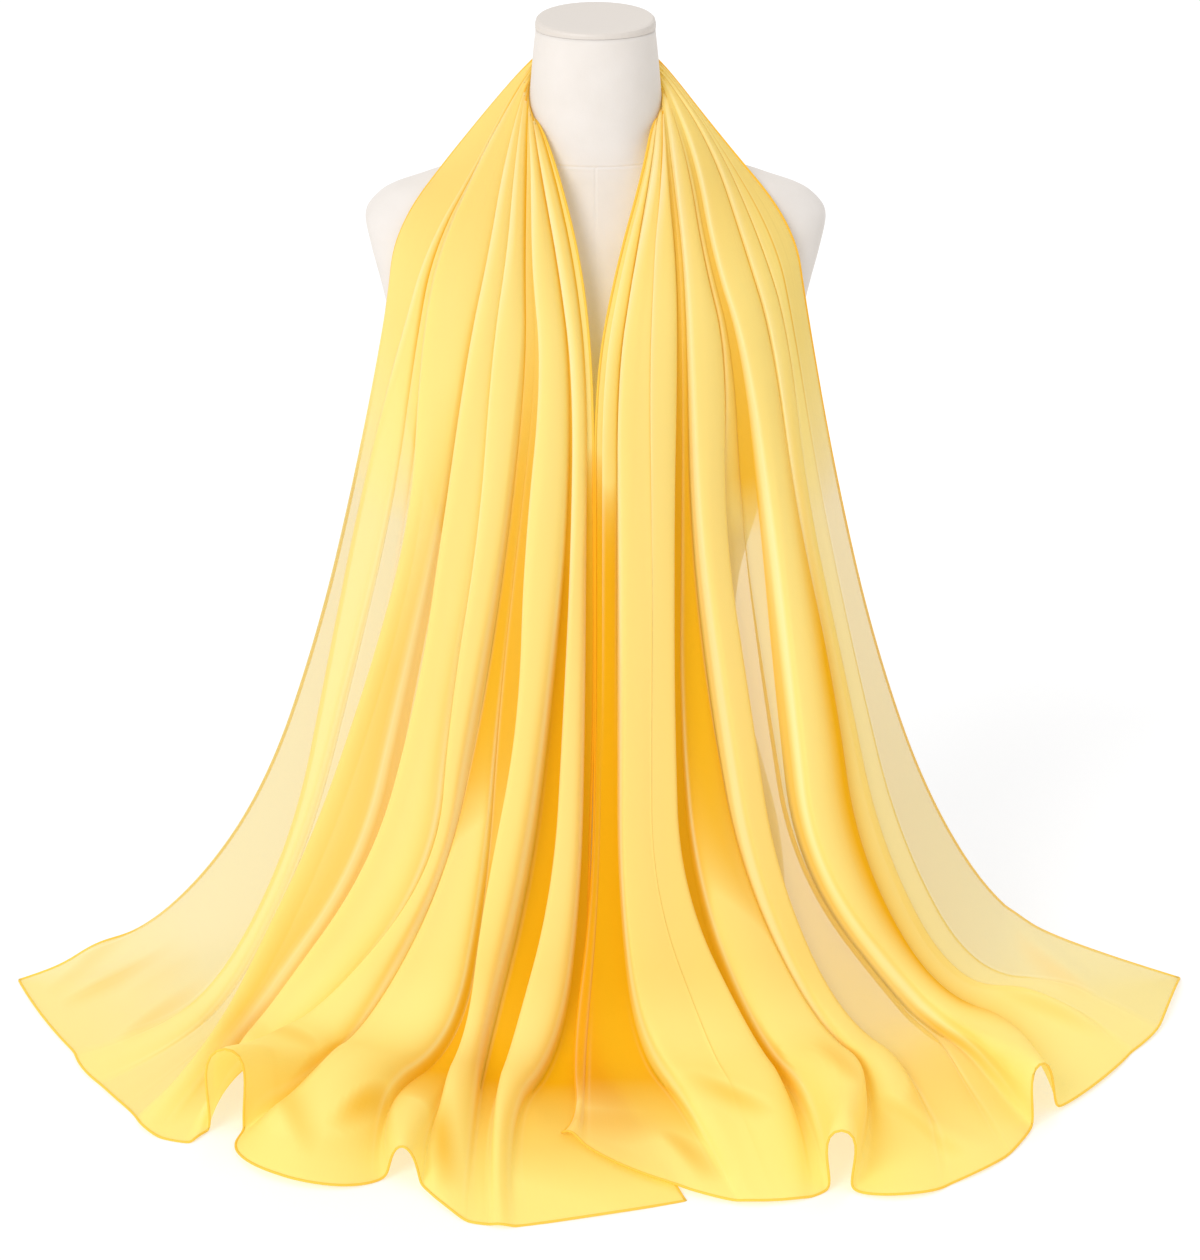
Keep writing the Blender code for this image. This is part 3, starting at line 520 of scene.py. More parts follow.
# %% [markdown]
# ## Node materials in one helper
#
# Each material is a small tree of nodes. One function adds a node, sets its values and links its inputs, so
# that a material reads as a list of what feeds what. Colours are written as a designer's sRGB hex codes and
# made linear.

# %% Colour and node helpers
def linear(hex_code):
    """sRGB hex to linear RGB: values over 0.04045 follow ((value + 0.055) / 1.055)^2.4, the rest value /
    12.92."""
    srgb = np.array([int(hex_code[i : i + 2], 16) / 255 for i in (1, 3, 5)])
    return (*np.where(srgb > 0.04045, ((srgb + 0.055) / 1.055) ** 2.4, srgb / 12.92).tolist(), 1.0)


def add(tree, kind, links=(), inputs=(), **settings):
    """Adds a node of a kind, with its settings, its input values by name or number, and links from other
    sockets."""
    node = tree.nodes.new("ShaderNode" + kind)
    for name, value in settings.items():
        setattr(node, name, value)
    for name, value in dict(inputs).items():
        node.inputs[name].default_value = value
    for name, socket in dict(links).items():
        tree.links.new(socket, node.inputs[name])
    return node


def new_material(name):
    material = bpy.data.materials.new(name)
    material.use_nodes = True
    material.node_tree.nodes.clear()
    return material, material.node_tree


print("middle grey in linear light:", round(linear("#808080")[0], 3))

# %% [markdown]
# ## Chiffon
#
# Chiffon is a plain weave of fine, hard-twisted yarn with open gaps, so a single layer lets about a third of the
# light straight through, and the yarn itself scatters and passes on the rest. Two layers hide much more than one. The
# material mixes a see-through part with a cloth part, by 1 - OPEN^layers, and the cloth part scatters a little more
# of its light back than it passes on. Deep folds look orange, because they lie in shade and light has met the dye
# several times there. The material paints that as shade: each point's painted shade mixes a deeper, orange colour in.
# A faint painted glow stands in for light that wanders inside the cloth, and a painted highlight runs along the
# pressed edges.

# %% Chiffon material
CHIFFON_DYE = "#FFF09E"  # one layer of cloth
CHIFFON_EDGE_HIGHLIGHT = "#FFFACC"  # painted highlight on a pressed edge, where two layers of cloth catch the light
CHIFFON_PAINTED_SHADE = "#F2B800"  # painted shade: the colour down in a recess, where the light meets the dye again and again
CHIFFON_THROUGH = "#FFEB78"  # light that comes out on the far side
CHIFFON_VEIL = "#D6C590"  # a single layer, which scatters less of the light back
# the colour of the painted glow
CHIFFON_PAINTED_GLOW = "#FFE440"
PAINTED_GLOW = 0.06  # strength of a painted glow, standing in for the light that wanders on from yarn to yarn inside the cloth, which no surface shader follows
GAP_TINT = "#FFFBF0"  # light that passes between the yarns
OPEN_SHARE = 0.33  # how much of the light passes one layer unhindered
THROUGH_SHARE = 0.42  # how much of the light that the yarn scatters comes out on the far side
THREAD_SPACING = 0.6 * MM  # real chiffon has about 0.25 mm: drawn coarser, so that it shows close by
THREAD_HEIGHT = 0.15 * MM
THREAD_SHOWS = 0.03  # how much less see-through the yarns are than the gaps
RIPPLE_SPACING = 14 * MM  # the twisted yarn's faint crinkle
RIPPLE_HEIGHT = 1.2 * MM
RIPPLE_STRETCH = 0.12  # it runs down the cloth
WAVE_PERIOD = 0.314  # a wave texture of scale 1 repeats after this many metres


def thread_waves(tree, flat, direction):
    """Yarns across the flat cloth: a sine wave of one yarn's spacing, a little uneven."""
    yarns = {"Scale": WAVE_PERIOD / THREAD_SPACING, "Distortion": 0.4}
    bands = {"wave_type": "BANDS", "bands_direction": direction, "wave_profile": "SIN"}
    return add(tree, "TexWave", links={"Vector": flat}, inputs=yarns, **bands).outputs["Fac"]


def crinkled_weave(tree):
    """The yarns, crossed as warp times weft, and the bumps that they and the crinkle make."""
    flat = add(tree, "UVMap", uv_map="cloth").outputs["UV"]
    warp, weft = (thread_waves(tree, flat, direction) for direction in "XY")
    weave = add(tree, "Math", operation="MULTIPLY", links={0: warp, 1: weft}).outputs[0]
    stretch = {"Scale": (1, RIPPLE_STRETCH, 1)}
    down = add(tree, "Mapping", links={"Vector": flat}, inputs=stretch).outputs["Vector"]
    crinkle = {"Scale": 1 / RIPPLE_SPACING, "Detail": 2.0, "Roughness": 0.45}
    ripple = add(tree, "TexNoise", links={"Vector": down}, inputs=crinkle).outputs["Fac"]
    soft = {"Strength": 0.35, "Distance": RIPPLE_HEIGHT}
    soft = add(tree, "Bump", links={"Height": ripple}, inputs=soft).outputs["Normal"]
    fine = {"Strength": 0.08, "Distance": THREAD_HEIGHT}
    return weave, add(tree, "Bump", links={"Height": weave, "Normal": soft}, inputs=fine).outputs["Normal"]


def mix_colour(tree, share, first, second):
    """A mix of two colours by share, where the first is a hex code or a socket."""
    links = {0: share} if isinstance(first, str) else {0: share, 6: first}
    inputs = {6: linear(first)} if isinstance(first, str) else {}
    return add(tree, "Mix", data_type="RGBA", links=links, inputs={**inputs, 7: linear(second)}).outputs[2]


def chiffon(name, dye, deep, through, open_share):
    """Sheer cloth: veil or dye by the layers, a deeper colour as painted shade, a painted highlight on the pressed
    edges and a faint painted glow."""
    material, tree = new_material(name)
    weave, bumped = crinkled_weave(tree)
    # what each point keeps: its layers of cloth, its painted shade and its painted highlight
    layers, painted_shade, edge = (
        add(tree, "Attribute", attribute_name=kept).outputs["Fac"] for kept in ("layers", "painted_shade", "edge")
    )
    clear = add(tree, "Math", operation="POWER", links={1: layers}, inputs={0: open_share}).outputs[0]
    single = add(tree, "Math", operation="MULTIPLY", links={0: clear}, inputs={1: 1 / open_share}).outputs[0]
    colour = mix_colour(tree, single, dye, CHIFFON_VEIL)
    # painted shade: the deeper colour mixed in by each point's share
    colour = mix_colour(tree, painted_shade, colour, deep)
    # painted highlight along the pressed edges
    colour = mix_colour(tree, edge, colour, CHIFFON_EDGE_HIGHLIGHT)
    # the lit cloth, with a faint painted glow as its emission
    dyed = add(
        tree, "BsdfPrincipled", links={"Normal": bumped, "Base Color": colour},
        inputs={
            "Roughness": 0.62, "Sheen Weight": 0.08, "Sheen Roughness": 0.4, "Specular IOR Level": 0.15,
            "Emission Color": linear(CHIFFON_PAINTED_GLOW), "Emission Strength": PAINTED_GLOW,
        },
    ).outputs["BSDF"]
    # the light passed through gets the same painted shade
    behind = mix_colour(tree, painted_shade, through, deep)
    passed = add(tree, "BsdfTranslucent", links={"Normal": bumped, "Color": behind}).outputs["BSDF"]
    cloth = add(tree, "MixShader", links={1: dyed, 2: passed}, inputs={"Fac": THROUGH_SHARE}).outputs[0]
    seen = {0: weave, 2: clear}
    seen = add(tree, "Math", operation="MULTIPLY_ADD", links=seen, inputs={1: -THREAD_SHOWS}).outputs[0]
    opacity = add(tree, "Math", operation="SUBTRACT", use_clamp=True, links={1: seen}, inputs={0: 1.0})
    gaps = add(tree, "BsdfTransparent", inputs={"Color": linear(GAP_TINT)}).outputs["BSDF"]
    mixed = add(tree, "MixShader", links={"Fac": opacity.outputs[0], 1: gaps, 2: cloth}).outputs[0]
    add(tree, "OutputMaterial", links={"Surface": mixed})
    return material


CHIFFON = chiffon("sheer_yellow_chiffon", CHIFFON_DYE, CHIFFON_PAINTED_SHADE, CHIFFON_THROUGH, OPEN_SHARE)
print("see-through share of 1, 2 and 5 layers:", [round(OPEN_SHARE**count, 3) for count in (1, 2, 5)])

# %% [markdown]
# ## Painted shade: how deep the colour is
#
# Between two folds the cloth lies in shade and is lit by light that has already met the dye, so it gets a deeper
# colour, painted as shade, the lower it lies under its neighbours. One could bake that from the finished meshes, but
# here the heights over each row are known, so a horizon can be swept along the row from both sides. Folds that hang
# behind others, the folds' right sides, the gathers, and the right half, which is turned from the light, get a little
# painted shade too.

# %% Recesses and shaded sides
RECESS_SLOPE = 0.12  # how fast the horizon falls with the distance from a fold
RECESS_FREE = 2 * MM  # how far under its neighbours a band may lie before it counts as a recess
RECESS_DEEP = 3.5 * MM  # that far under them, a recess has most of its painted shade
RECESS_FADE = ((9.9, 10.9), (1, 0.1))  # stations between which the cloth comes to lie open on the floor
MIDDLE_WALL = ((5.8, 7.2, 10.4, 11.4), (0, 30, 25, 0))  # stations, and the other half's rise there, mm
FULL_SHADE_LAYERS = 2.4  # this many layers get the full painted shade in a recess
SINGLE_LAYER_SHADE = 0.12  # and a single one has this share of it
CREASE_SHADE = 1.0  # painted shade where a pressed pleat tucks in
FLANK_SHADE = 0.45  # painted shade on the folds' right sides, which are turned from the key light
FLANK_FROM_TO = ((6.0, 7.5, 9.9, 10.9), (0.15, 1.0, 1.0, 0.3))  # stations, and the flanks' share there
FLANK_STEP = 0.1 * MM  # the least distance that a slope is measured over
# Painted shade on folds that hang behind others: its depth at the hip, where across the fold it lies, and how wide.
SHADED = {
    "fold_c": (0.6, 0.8, 0.35),
    "soft": (0.6, 0.9, 0.4),
    "fold_r": (0.95, 0.16, 0.2),
    "shade": (0.3, 0.5, 0.5),
}
SHADED_FROM_TO = ((5.6, 7.4, 9.8, 10.8), (0, 1, 1, 0))  # stations, and the share of that painted shade
GATHERED_SHADE = ((2.0, 4.0, 5.0, 6.2), (0.28, 0.22, 0.08, 0.0))  # stations, and the gathers' painted shade
FAR_SHADE = ((4.8, 6.4, 9.0, 10.4), (0.02, 0.14, 0.14, 0.0))  # and the painted shade on the right half, which is turned from the key light


def recess_shade(points, lift, v):
    """Painted shade in the recesses, from 0 to 1, by how deep each point lies. On both sides of it, the horizon is
    the highest fold less RECESS_SLOPE times its distance, and the lower horizon's height h over the point, less
    RECESS_FREE, gives 1 - exp(-h / RECESS_DEEP). Next to the middle, the other half's folds are the wall on that
    side."""
    apart = RECESS_SLOPE * np.linalg.norm(np.diff(points[..., :2], axis=1), axis=2)
    outer, inner = lift.copy(), lift.copy()
    inner[:, -1] = np.maximum(inner[:, -1], np.interp(v, *MIDDLE_WALL) * MM)
    for here in range(1, lift.shape[1]):
        outer[:, here] = np.maximum(outer[:, here], outer[:, here - 1] - apart[:, here - 1])
        inner[:, -here - 1] = np.maximum(inner[:, -here - 1], inner[:, -here] - apart[:, -here])
    over = np.maximum(np.minimum(outer, inner) - lift - RECESS_FREE, 0)
    return (1 - np.exp(-over / RECESS_DEEP)) * np.interp(v, *RECESS_FADE)[:, None]


def flank_share(side, points, lift, v):
    """Painted shade on the folds' right sides, which are turned from the key light: FLANK_SHADE times the sine of the
    side's slope, but less on the pressed pleats and on the floor."""
    length = np.gradient(run_lengths(points, 1), axis=1)
    slope = np.clip(side * np.gradient(lift, axis=1) / np.maximum(length, FLANK_STEP), 0, 1)
    return FLANK_SHADE * slope * np.interp(v, *FLANK_FROM_TO)[:, None]


def shaded_share(side, folds, fold, t, v):
    """Painted shade on folds that hang behind others: how much they get at the hip, times exp(-((t - middle) /
    width)^2) and the share down the cloth, with the painted shade that the gathers and the right half have all over."""
    deep, middle, width = np.array([SHADED.get(row[0], (0, 0.5, 1)) for row in folds])[fold].T
    share = deep * np.exp(-(((t - middle) / width) ** 2)) * np.interp(v, *SHADED_FROM_TO)[:, None]
    all_over = np.interp(v, *GATHERED_SHADE) + (np.interp(v, *FAR_SHADE) if side == RIGHT else 0)
    return share + all_over[:, None]


# the painted shade of a point 5 mm under its neighbours
print("deep colour 5 mm under the neighbours:", round(1 - math.exp(-(5 * MM - RECESS_FREE) / RECESS_DEEP), 2))

# %% [markdown]
# ## How many layers lie on each other
#
# Where the scarf is gathered, five or six layers hide what is behind them, and a veil hangs alone between
# two pleats. Each layer could be its own sheet, but they would touch all over. So one sheet carries the
# count, fold by fold.

# %% Layers
LAYER_PLACES = (5.2, 6.6, 9.6, 11.5)  # stations: top layers up to the first, mid from 6.6 to 9.6, then low
LAYER_BLEND = 0.06  # how far into a fold its neighbour's layers fade


def layer_values(folds, fold, t, v):
    """Layers of cloth at each point: each fold's value runs from its top to its low one down the cloth, and
    fades into its neighbours' right at the lines."""
    top, mid, low = (column(folds, FOLD_COLUMNS, name + "_layers") for name in ("top", "mid", "low"))
    down = np.stack([np.interp(v, LAYER_PLACES, values) for values in zip(top, mid, mid, low)], 1)
    before, after = down[:, np.maximum(fold - 1, 0)], down[:, np.minimum(fold + 1, len(folds) - 2)]
    into_left = np.clip(0.5 - 0.5 * t / LAYER_BLEND, 0, 0.5)
    into_right = np.clip(0.5 - 0.5 * (1 - t) / LAYER_BLEND, 0, 0.5)
    return down[:, fold] * (1 - into_left - into_right) + before * into_left + after * into_right


print("most layers on the left half:", column(LEFT_FOLDS, FOLD_COLUMNS, "top_layers").max())

# %% [markdown]
# ## How the cloth lands
#
# Cloth has no sharp corners where it comes to lie, and it keeps soft creases that run out from the last folds. The
# corners are eased by moving each point towards its neighbours, and the creases are low ridges with painted shade on
# one side, drawn between two points each.

# %% Easing and creases on the floor
SMOOTH_PASSES = 60
SMOOTH_FROM_TO = (10.0, 12.0)  # stations between which the easing comes in
LOOP_STIFFNESS = 0.92  # how much of it the hem's tall loops are spared
# A crease has x and y of its start and of its end, its half width and its height, all in mm, and how deep the painted
# shade is on its shaded side.
CREASES = (
    (-465, -44, -366, 16, 15, 7, 0.4), (-446, -68, -340, -48, 12, 6, 0.6),
    (-395, -145, -304, -68, 12, 7, 0.6), (-392, -82, -280, -46, 14, 9, 0.4),
    (-350, 34, -312, -12, 12, 7, 0.3), (-282, -134, -195, -218, 16, 6, 0.8),
    (-270, -231, -224, -376, 16, 5, 0.4), (-214, -327, -159, -231, 16, 5, 0.8),
    (-134, -266, -121, -409, 14, 4, 0.7), (-65, -204, -39, -318, 16, 4, 0.8),
    (35, -292, 79, -393, 18, 5, 0.5), (75, -232, 144, -289, 16, 5, 0.7),
    (155, -122, 194, -309, 16, 8, 0.7), (235, -94, 335, -251, 16, 6, 0.5),
    (224, -258, 299, -343, 16, 5, 0.4), (264, 26, 362, -30, 13, 11, 0.6),
    (312, 2, 418, -80, 14, 10, 0.6), (212, 52, 274, -66, 13, 9, 0.5),
    (274, -66, 416, -134, 13, 10, 0.5), (188, -5, 308, -216, 14, 10, 0.3),
)
CREASES_FROM_TO = (9.6, 10.6)  # stations between which the creases come in
SHADED_WAY = (0.5, -0.87)  # the creases' shaded sides face this way, to the front and a little to the right
CREASE_PEAK = 2.33  # brings the highest slope of a ridge of height and half width 1 to 1


def eased(points, v, loop):
    """Each pass moves a point halfway towards the mean of its two neighbours along the row, in full at the
    hem, but less in its tall loops."""
    share = 0.5 * np.interp(v, SMOOTH_FROM_TO, (0, 1))[:, None, None]
    share = share * (1 - LOOP_STIFFNESS * loop)[1:-1, None]
    for _ in range(SMOOTH_PASSES):
        points[:, 1:-1] += share * (0.5 * (points[:, :-2] + points[:, 2:]) - points[:, 1:-1])
    return points


def floor_creases(points, v):
    """Height of the creases, and the painted shade beside them. Each is a ridge exp(-(d / half width)^2) at distance
    d from the line between its ends, and fades towards them as the sine of the way along. The painted shade follows
    the ridge's slope on its shaded side."""
    height, shade = np.zeros(points.shape[:2]), np.zeros(points.shape[:2])
    for x0, y0, x1, y1, half, tall, deep in CREASES:
        place = points[..., :2] - np.array((x0, y0)) * MM
        along = np.array((x1 - x0, y1 - y0)) * MM
        across = np.array((along[1], -along[0])) / np.linalg.norm(along)
        share = np.clip(place @ along / (along @ along), 0, 1)
        apart = np.linalg.norm(place - share[..., None] * along, axis=2) / (half * MM)
        ridge = np.exp(-(apart**2)) * np.sin(math.pi * share)
        # painted shade on the side of the ridge that faces SHADED_WAY
        shaded = place @ across * (across @ SHADED_WAY) > 0
        height += tall * MM * ridge
        shade = np.maximum(shade, deep * CREASE_PEAK * shaded * apart * ridge)
    start = np.interp(v, CREASES_FROM_TO, (0, 1))[:, None]
    return height * start, shade * start


print("creases on the floor:", len(CREASES))

# %% [markdown]
# ## The two halves
#
# Each half is one open sheet of no thickness: real chiffon is about 0.15 mm, far less than a pixel.

# %% Falls
CLOTH_LIFT = 0.6 * MM  # the middle of the cloth above the floor
FLAT_ROW = 0.625  # the row whose lengths across the cloth are the weave's, as a share of the rows


def painted_shade_values(side, folds, fold, t, v, points, lift, tuck_shade, layers):
    """The strongest painted shade of what recesses, tucked pleats, flanks and shaded folds give. A single layer,
    which has little dye, gets less of it."""
    many = np.clip((layers - 1) / (FULL_SHADE_LAYERS - 1), SINGLE_LAYER_SHADE, 1)
    painted_shade = np.maximum(many * recess_shade(points, lift, v), CREASE_SHADE * tuck_shade)
    painted_shade = np.maximum(painted_shade, flank_share(side, points, lift, v))
    return np.maximum(painted_shade, shaded_share(side, folds, fold, t, v))


def add_fall(name, side, folds, node):
    """One half of the scarf in place of its solid. Gives the piece, its points and their painted shade."""
    v = row_places()
    fold, t = fold_columns(side, folds)
    points, lift, tuck_shade, edge = half_surface(side, folds, fold, t, v)
    points = eased(points, v, loop_share(folds)[fold] * np.sqrt(np.abs(np.sin(math.pi * t))))
    ridge, shade = floor_creases(points, v)
    points[..., 2] = np.maximum(points[..., 2] + ridge, 0) + CLOTH_LIFT
    mesh = grid_mesh(name, points, flipped=side == RIGHT)
    layers = layer_values(folds, fold, t, v)
    # painted shade, with that of the floor creases
    painted_shade = np.maximum(painted_shade_values(side, folds, fold, t, v, points, lift, tuck_shade, layers), shade)
    for kept, values in (("layers", layers), ("painted_shade", painted_shade), ("edge", edge)):
        keep_attribute(mesh, kept, values)
    across = run_lengths(points, 1)[int(FLAT_ROW * len(v))]
    along = run_lengths(points, 0)[:, points.shape[1] // 2, None]
    keep_uv(mesh, np.broadcast_to(across, points.shape[:2]), np.broadcast_to(along, points.shape[:2]))
    piece = add_object(name, mesh, CHIFFON)
    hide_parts(node)
    print(name, "area", round(area_of(mesh), 3), "m2, triangles", 2 * len(mesh.polygons))
    return piece, points, painted_shade


left_fall, left_points, left_painted_shade = add_fall("scarf_left_cloth", LEFT, LEFT_FOLDS, "scarf_left_fall")
right_fall, right_points, right_painted_shade = add_fall("scarf_right_cloth", RIGHT, RIGHT_FOLDS, "scarf_right_fall")

# %% [markdown]
# ## The gathered neck band
#
# Behind the neck the whole width is squeezed into a band of pleats a few centimetres wide. It is the same
# surface carried on to the nape from both sides, closed on its inner side where it lies against the neck.

# %% Neck band
BAND_ROWS = 60  # on each side of the nape
BAND_COLUMNS = 260
BAND_OVERLAP = 0.05  # how far the band runs on under the two halves, in stations
BAND_THICK = 2.0 * MM
BAND_LAYERS = 5
BAND_BLEND = (0.4, 0.6)  # where along the band the left half's pleats turn into the right half's


def band_columns(folds):
    """(fold, t) of BAND_COLUMNS columns, evenly spaced over the shares that the folds have of the band's
    width."""
    edges = np.concatenate([[0], np.cumsum(column(folds, FOLD_COLUMNS, "neck"))[:-1]])
    place = np.linspace(0, edges[-1], BAND_COLUMNS)
    fold = np.clip(np.searchsorted(edges, place, side="right") - 1, 0, len(edges) - 2)
    return fold, (place - edges[fold]) / (edges[fold + 1] - edges[fold])


def band_surface():
    """Rows from the left half's first row round the nape to the right half's. Each half's pleats are
    mirrored past the nape, and between BAND_BLEND one blends into the other by the smooth step 3 s^2 - 2
    s^3."""
    turns = np.linspace(BAND_END + BAND_OVERLAP, 0, BAND_ROWS)
    outer = []
    for side, folds, v in ((LEFT, LEFT_FOLDS, turns), (RIGHT, RIGHT_FOLDS, turns[::-1])):
        fold, t = band_columns(folds)
        outer.append(half_surface(side, folds, fold, t, v)[0])
    mirror = np.array((-1, 1, 1))
    left = np.concatenate([outer[0], (outer[0] * mirror)[::-1]])
    right = np.concatenate([(outer[1] * mirror)[::-1], outer[1]])
    share = np.interp(np.linspace(0, 1, 2 * BAND_ROWS), BAND_BLEND, (0, 1))[:, None, None]
    share = share * share * (3 - 2 * share)
    return left * (1 - share) + right * share


def closed_band(points):
    """The band's outside, then its inside, BAND_THICK nearer the neck, then the first column again."""
    radial = points * (1, 1, 0)
    inside = points - radial / np.linalg.norm(radial, axis=2, keepdims=True) * BAND_THICK
    return np.concatenate([points, inside[:, ::-1], points[:, :1]], 1)


def add_neck_band():
    points = closed_band(band_surface())
    mesh = grid_mesh("scarf_neck_pleats", points, flipped=True)
    # the gathers' painted shade all over, and no painted highlight
    for kept, value in (("layers", BAND_LAYERS), ("painted_shade", GATHERED_SHADE[1][0]), ("edge", 0)):
        keep_attribute(mesh, kept, np.full(points.shape[:2], value))
    keep_uv(mesh, run_lengths(points, 1), run_lengths(points, 0))
    piece = add_object("scarf_neck_pleats", mesh, CHIFFON)
    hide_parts("scarf_neck_band")
    print("neck band area", round(area_of(mesh), 3), "m2")
    return piece


neck_pleats = add_neck_band()

# %% [markdown]
# ## The rolled hem
#
# A chiffon scarf is hemmed with a narrow roll, sewn by hand or machine. The roll holds several layers, so
# it is hardly see-through, and it draws a fine saturated line round each half.

# %% Hem
HEM_RADIUS = 1.0 * MM
HEM_SIDES = 8
HEM_LAYERS = 2
HEM_STEP = 0.05 * MM  # nearer points of the border are left out, because a tube needs a way to run
HEM_FLOOR = 0.1 * MM  # the roll's underside lies this far over the floor
TUBE_UP = (0.31, 0.52, 0.79)  # a way that no stretch of the hem runs, to turn the tube's sections by
HEM_DYE, HEM_PAINTED_SHADE, HEM_THROUGH = "#FFE45C", "#FFC81C", "#FFE050"  # the same dye, seen through the whole roll, with a deeper colour as painted shade
HEM_OPEN_SHARE = 0.2


def hem_path(points):
    """The border of a half: down the outer edge, along the hem and up the inner edge."""
    return np.concatenate([points[:, 0], points[-1, 1:], points[-2::-1, -1]])


def tube(path, radius, sides):
    """A tube round a path: at each point p it is p + radius (cos(a) across + sin(a) other), on two axes
    square to the path."""
    along = np.gradient(path, axis=0)
    along /= np.linalg.norm(along, axis=1, keepdims=True)
    across = np.cross(along, TUBE_UP)
    across /= np.linalg.norm(across, axis=1, keepdims=True)
    other = np.cross(along, across)
    angle = np.linspace(0, 2 * math.pi, sides, endpoint=False)[None, :, None]
    rings = path[:, None] + radius * (np.cos(angle) * across[:, None] + np.sin(angle) * other[:, None])
    return np.concatenate([rings, rings[:, :1]], 1)


HEM_CHIFFON = chiffon("rolled_chiffon_hem", HEM_DYE, HEM_PAINTED_SHADE, HEM_THROUGH, HEM_OPEN_SHARE)


def add_hem(name, points, painted_shade):
    """The rolled hem of one half, with the same painted shade as the cloth beside it."""
    path, deep = hem_path(points), hem_path(painted_shade)
    steps = np.linalg.norm(np.diff(path, axis=0), axis=1)
    apart = np.concatenate([[True], steps > HEM_STEP])
    rings = tube(path[apart], HEM_RADIUS, HEM_SIDES)
    rings[..., 2] = np.maximum(rings[..., 2], HEM_FLOOR)
    mesh = grid_mesh(name, rings)
    # the painted shade of the cloth beside it, and no painted highlight
    for kept, values in (("layers", HEM_LAYERS), ("painted_shade", deep[apart][:, None]), ("edge", 0)):
        keep_attribute(mesh, kept, np.broadcast_to(values, rings.shape[:2]))
    keep_uv(mesh, run_lengths(rings, 1), run_lengths(rings, 0))
    piece = add_object(name, mesh, HEM_CHIFFON)
    print(name, round(float(steps.sum()), 2), "m long")
    return piece


left_hem = add_hem("scarf_left_hem", left_points, left_painted_shade)
right_hem = add_hem("scarf_right_hem", right_points, right_painted_shade)

# %% [markdown]
# ## The sheets of cloth
#
# The three sheets of cloth are listed by name.

# %% Sheets
print("sheets:", left_fall.name, right_fall.name, neck_pleats.name)

# %% [markdown]
# ## The dress form
#
# A display torso is a moulded shell under a stretched jersey cover, off-white, with sewn seams: one round
# the base of the neck, one down the front, one down the back and one on each side. The solid's rings are
# joined by a smooth curve here, and each seam is a shallow groove with a soft ridge on both sides.

# %% Form rings, in mm
# A ring has its height, its half width, its depths in front and behind, and its squareness, which is 2 for
# an oval and more for a squarer ring.
RINGS = (
    (6.3, 146, 80, 100, 2.3), (60, 158, 90, 112, 2.3), (130, 154, 90, 108, 2.3), (200, 137, 84, 94, 2.3),
    (260, 121, 77, 80, 2.3), (310, 114, 74, 72, 2.3), (360, 117, 78, 74, 2.3), (420, 132, 90, 80, 2.3),
    (480, 149, 103, 88, 2.4), (530, 161, 107, 93, 2.5), (570, 170, 104, 94, 2.5), (598, 176, 97, 91, 2.5),
    (612, 178, 92, 89, 2.4), (640, 184, 82, 80, 2.2), (662, 185, 74, 68, 2.0), (680, 171, 66, 60, 1.8),
    (694, 137, 61, 60, 1.8), (706, 97, 59, 61, 1.9), (720, 67, 57, 60, 2.0), (736, 55, 54.5, 55, 2.0),
    (752, 52.5, 52, 52.5, 2.0), (770, 50.8, 50.8, 50.8, 2.0), (788, 49.2, 49.4, 49.4, 2.0),
    (810, 46.8, 47.4, 47.4, 2.0),
)
FORM_SIDES = 300
FORM_LEVELS = 318
LEVEL_SAMPLES = 20  # how many places a level is chosen from
SIDE_BUNCHING = 0.6  # how much closer together the columns are at the four seams that run down
SEAM_LEVELS = (6, 9 * MM)  # how many times as close the levels are at the neck seam, and how far round it
ARMHOLE_TOP = (187 * MM, 664 * MM)  # how far out and how high the flat armhole begins
ARMHOLE_LEAN = 0.31  # how much it leans inwards on the way down
ARMHOLE_DEEPEST = 598 * MM  # the height down to which it does
ARMHOLE_RUN_OUT = 0.2  # how fast the flat opens out again below its deepest point
ARMHOLE_ROUNDING = 40  # the power of a soft limit: the higher, the sharper the armhole's edge
SEAM_HALF = 0.8 * MM
SEAM_DEPTH = 0.35 * MM
WELT_PLACE, WELT_WIDTH, WELT_HEIGHT = 2.2, 1.2, 0.35  # welts beside it, as shares of its half and depth
NECK_SEAM_UP = 712.5 * MM  # at the front
NECK_SEAM_RISE = 8 * MM  # how much higher the seam is at the back
NECK_BASE_RADIUS = 60 * MM
SIDE_SEAM_BACK = 6 * MM  # how far behind the middle the side seams run

print("rings of the form:", len(RINGS))


# %% Smooth body
def catmull_rom(values, at, place):
    """A smooth curve through rows of values whose parameters are at, read at each place: between two rows
    it is the cubic with their slopes, and each slope is the mean of its two neighbours' weighted by the
    other's distance."""
    step = np.diff(at)[:, None]
    slope = np.diff(values, axis=0) / step
    inner = (slope[:-1] * step[1:] + slope[1:] * step[:-1]) / (step[1:] + step[:-1])
    tangent = np.concatenate([slope[:1], inner, slope[-1:]])
    index = np.clip(np.searchsorted(at, place, side="right") - 1, 0, len(at) - 2)
    width = step[index]
    s = ((place - at[index])[:, None]) / width
    start, end = values[index], values[index + 1]
    leave, arrive = tangent[index] * width, tangent[index + 1] * width
    return (
        (2 * s**3 - 3 * s**2 + 1) * start + (s**3 - 2 * s**2 + s) * leave
        + (3 * s**2 - 2 * s**3) * end + (s**3 - s**2) * arrive
    )


def form_levels(at, up):
    """Places along the profile: a step is as short as 1 / (1 + more exp(-(d / reach)^2)) at height d from
    the neck seam's middle."""
    more, reach = SEAM_LEVELS[0] - 1, SEAM_LEVELS[1]
    fine = np.linspace(0, at[-1], LEVEL_SAMPLES * FORM_LEVELS)
    middle = NECK_SEAM_UP + NECK_SEAM_RISE / 2
    weight = np.cumsum(1 + more * np.exp(-(((np.interp(fine, at, up) * MM - middle) / reach) ** 2)))
    return np.interp(np.linspace(weight[0], weight[-1], FORM_LEVELS), weight, fine)


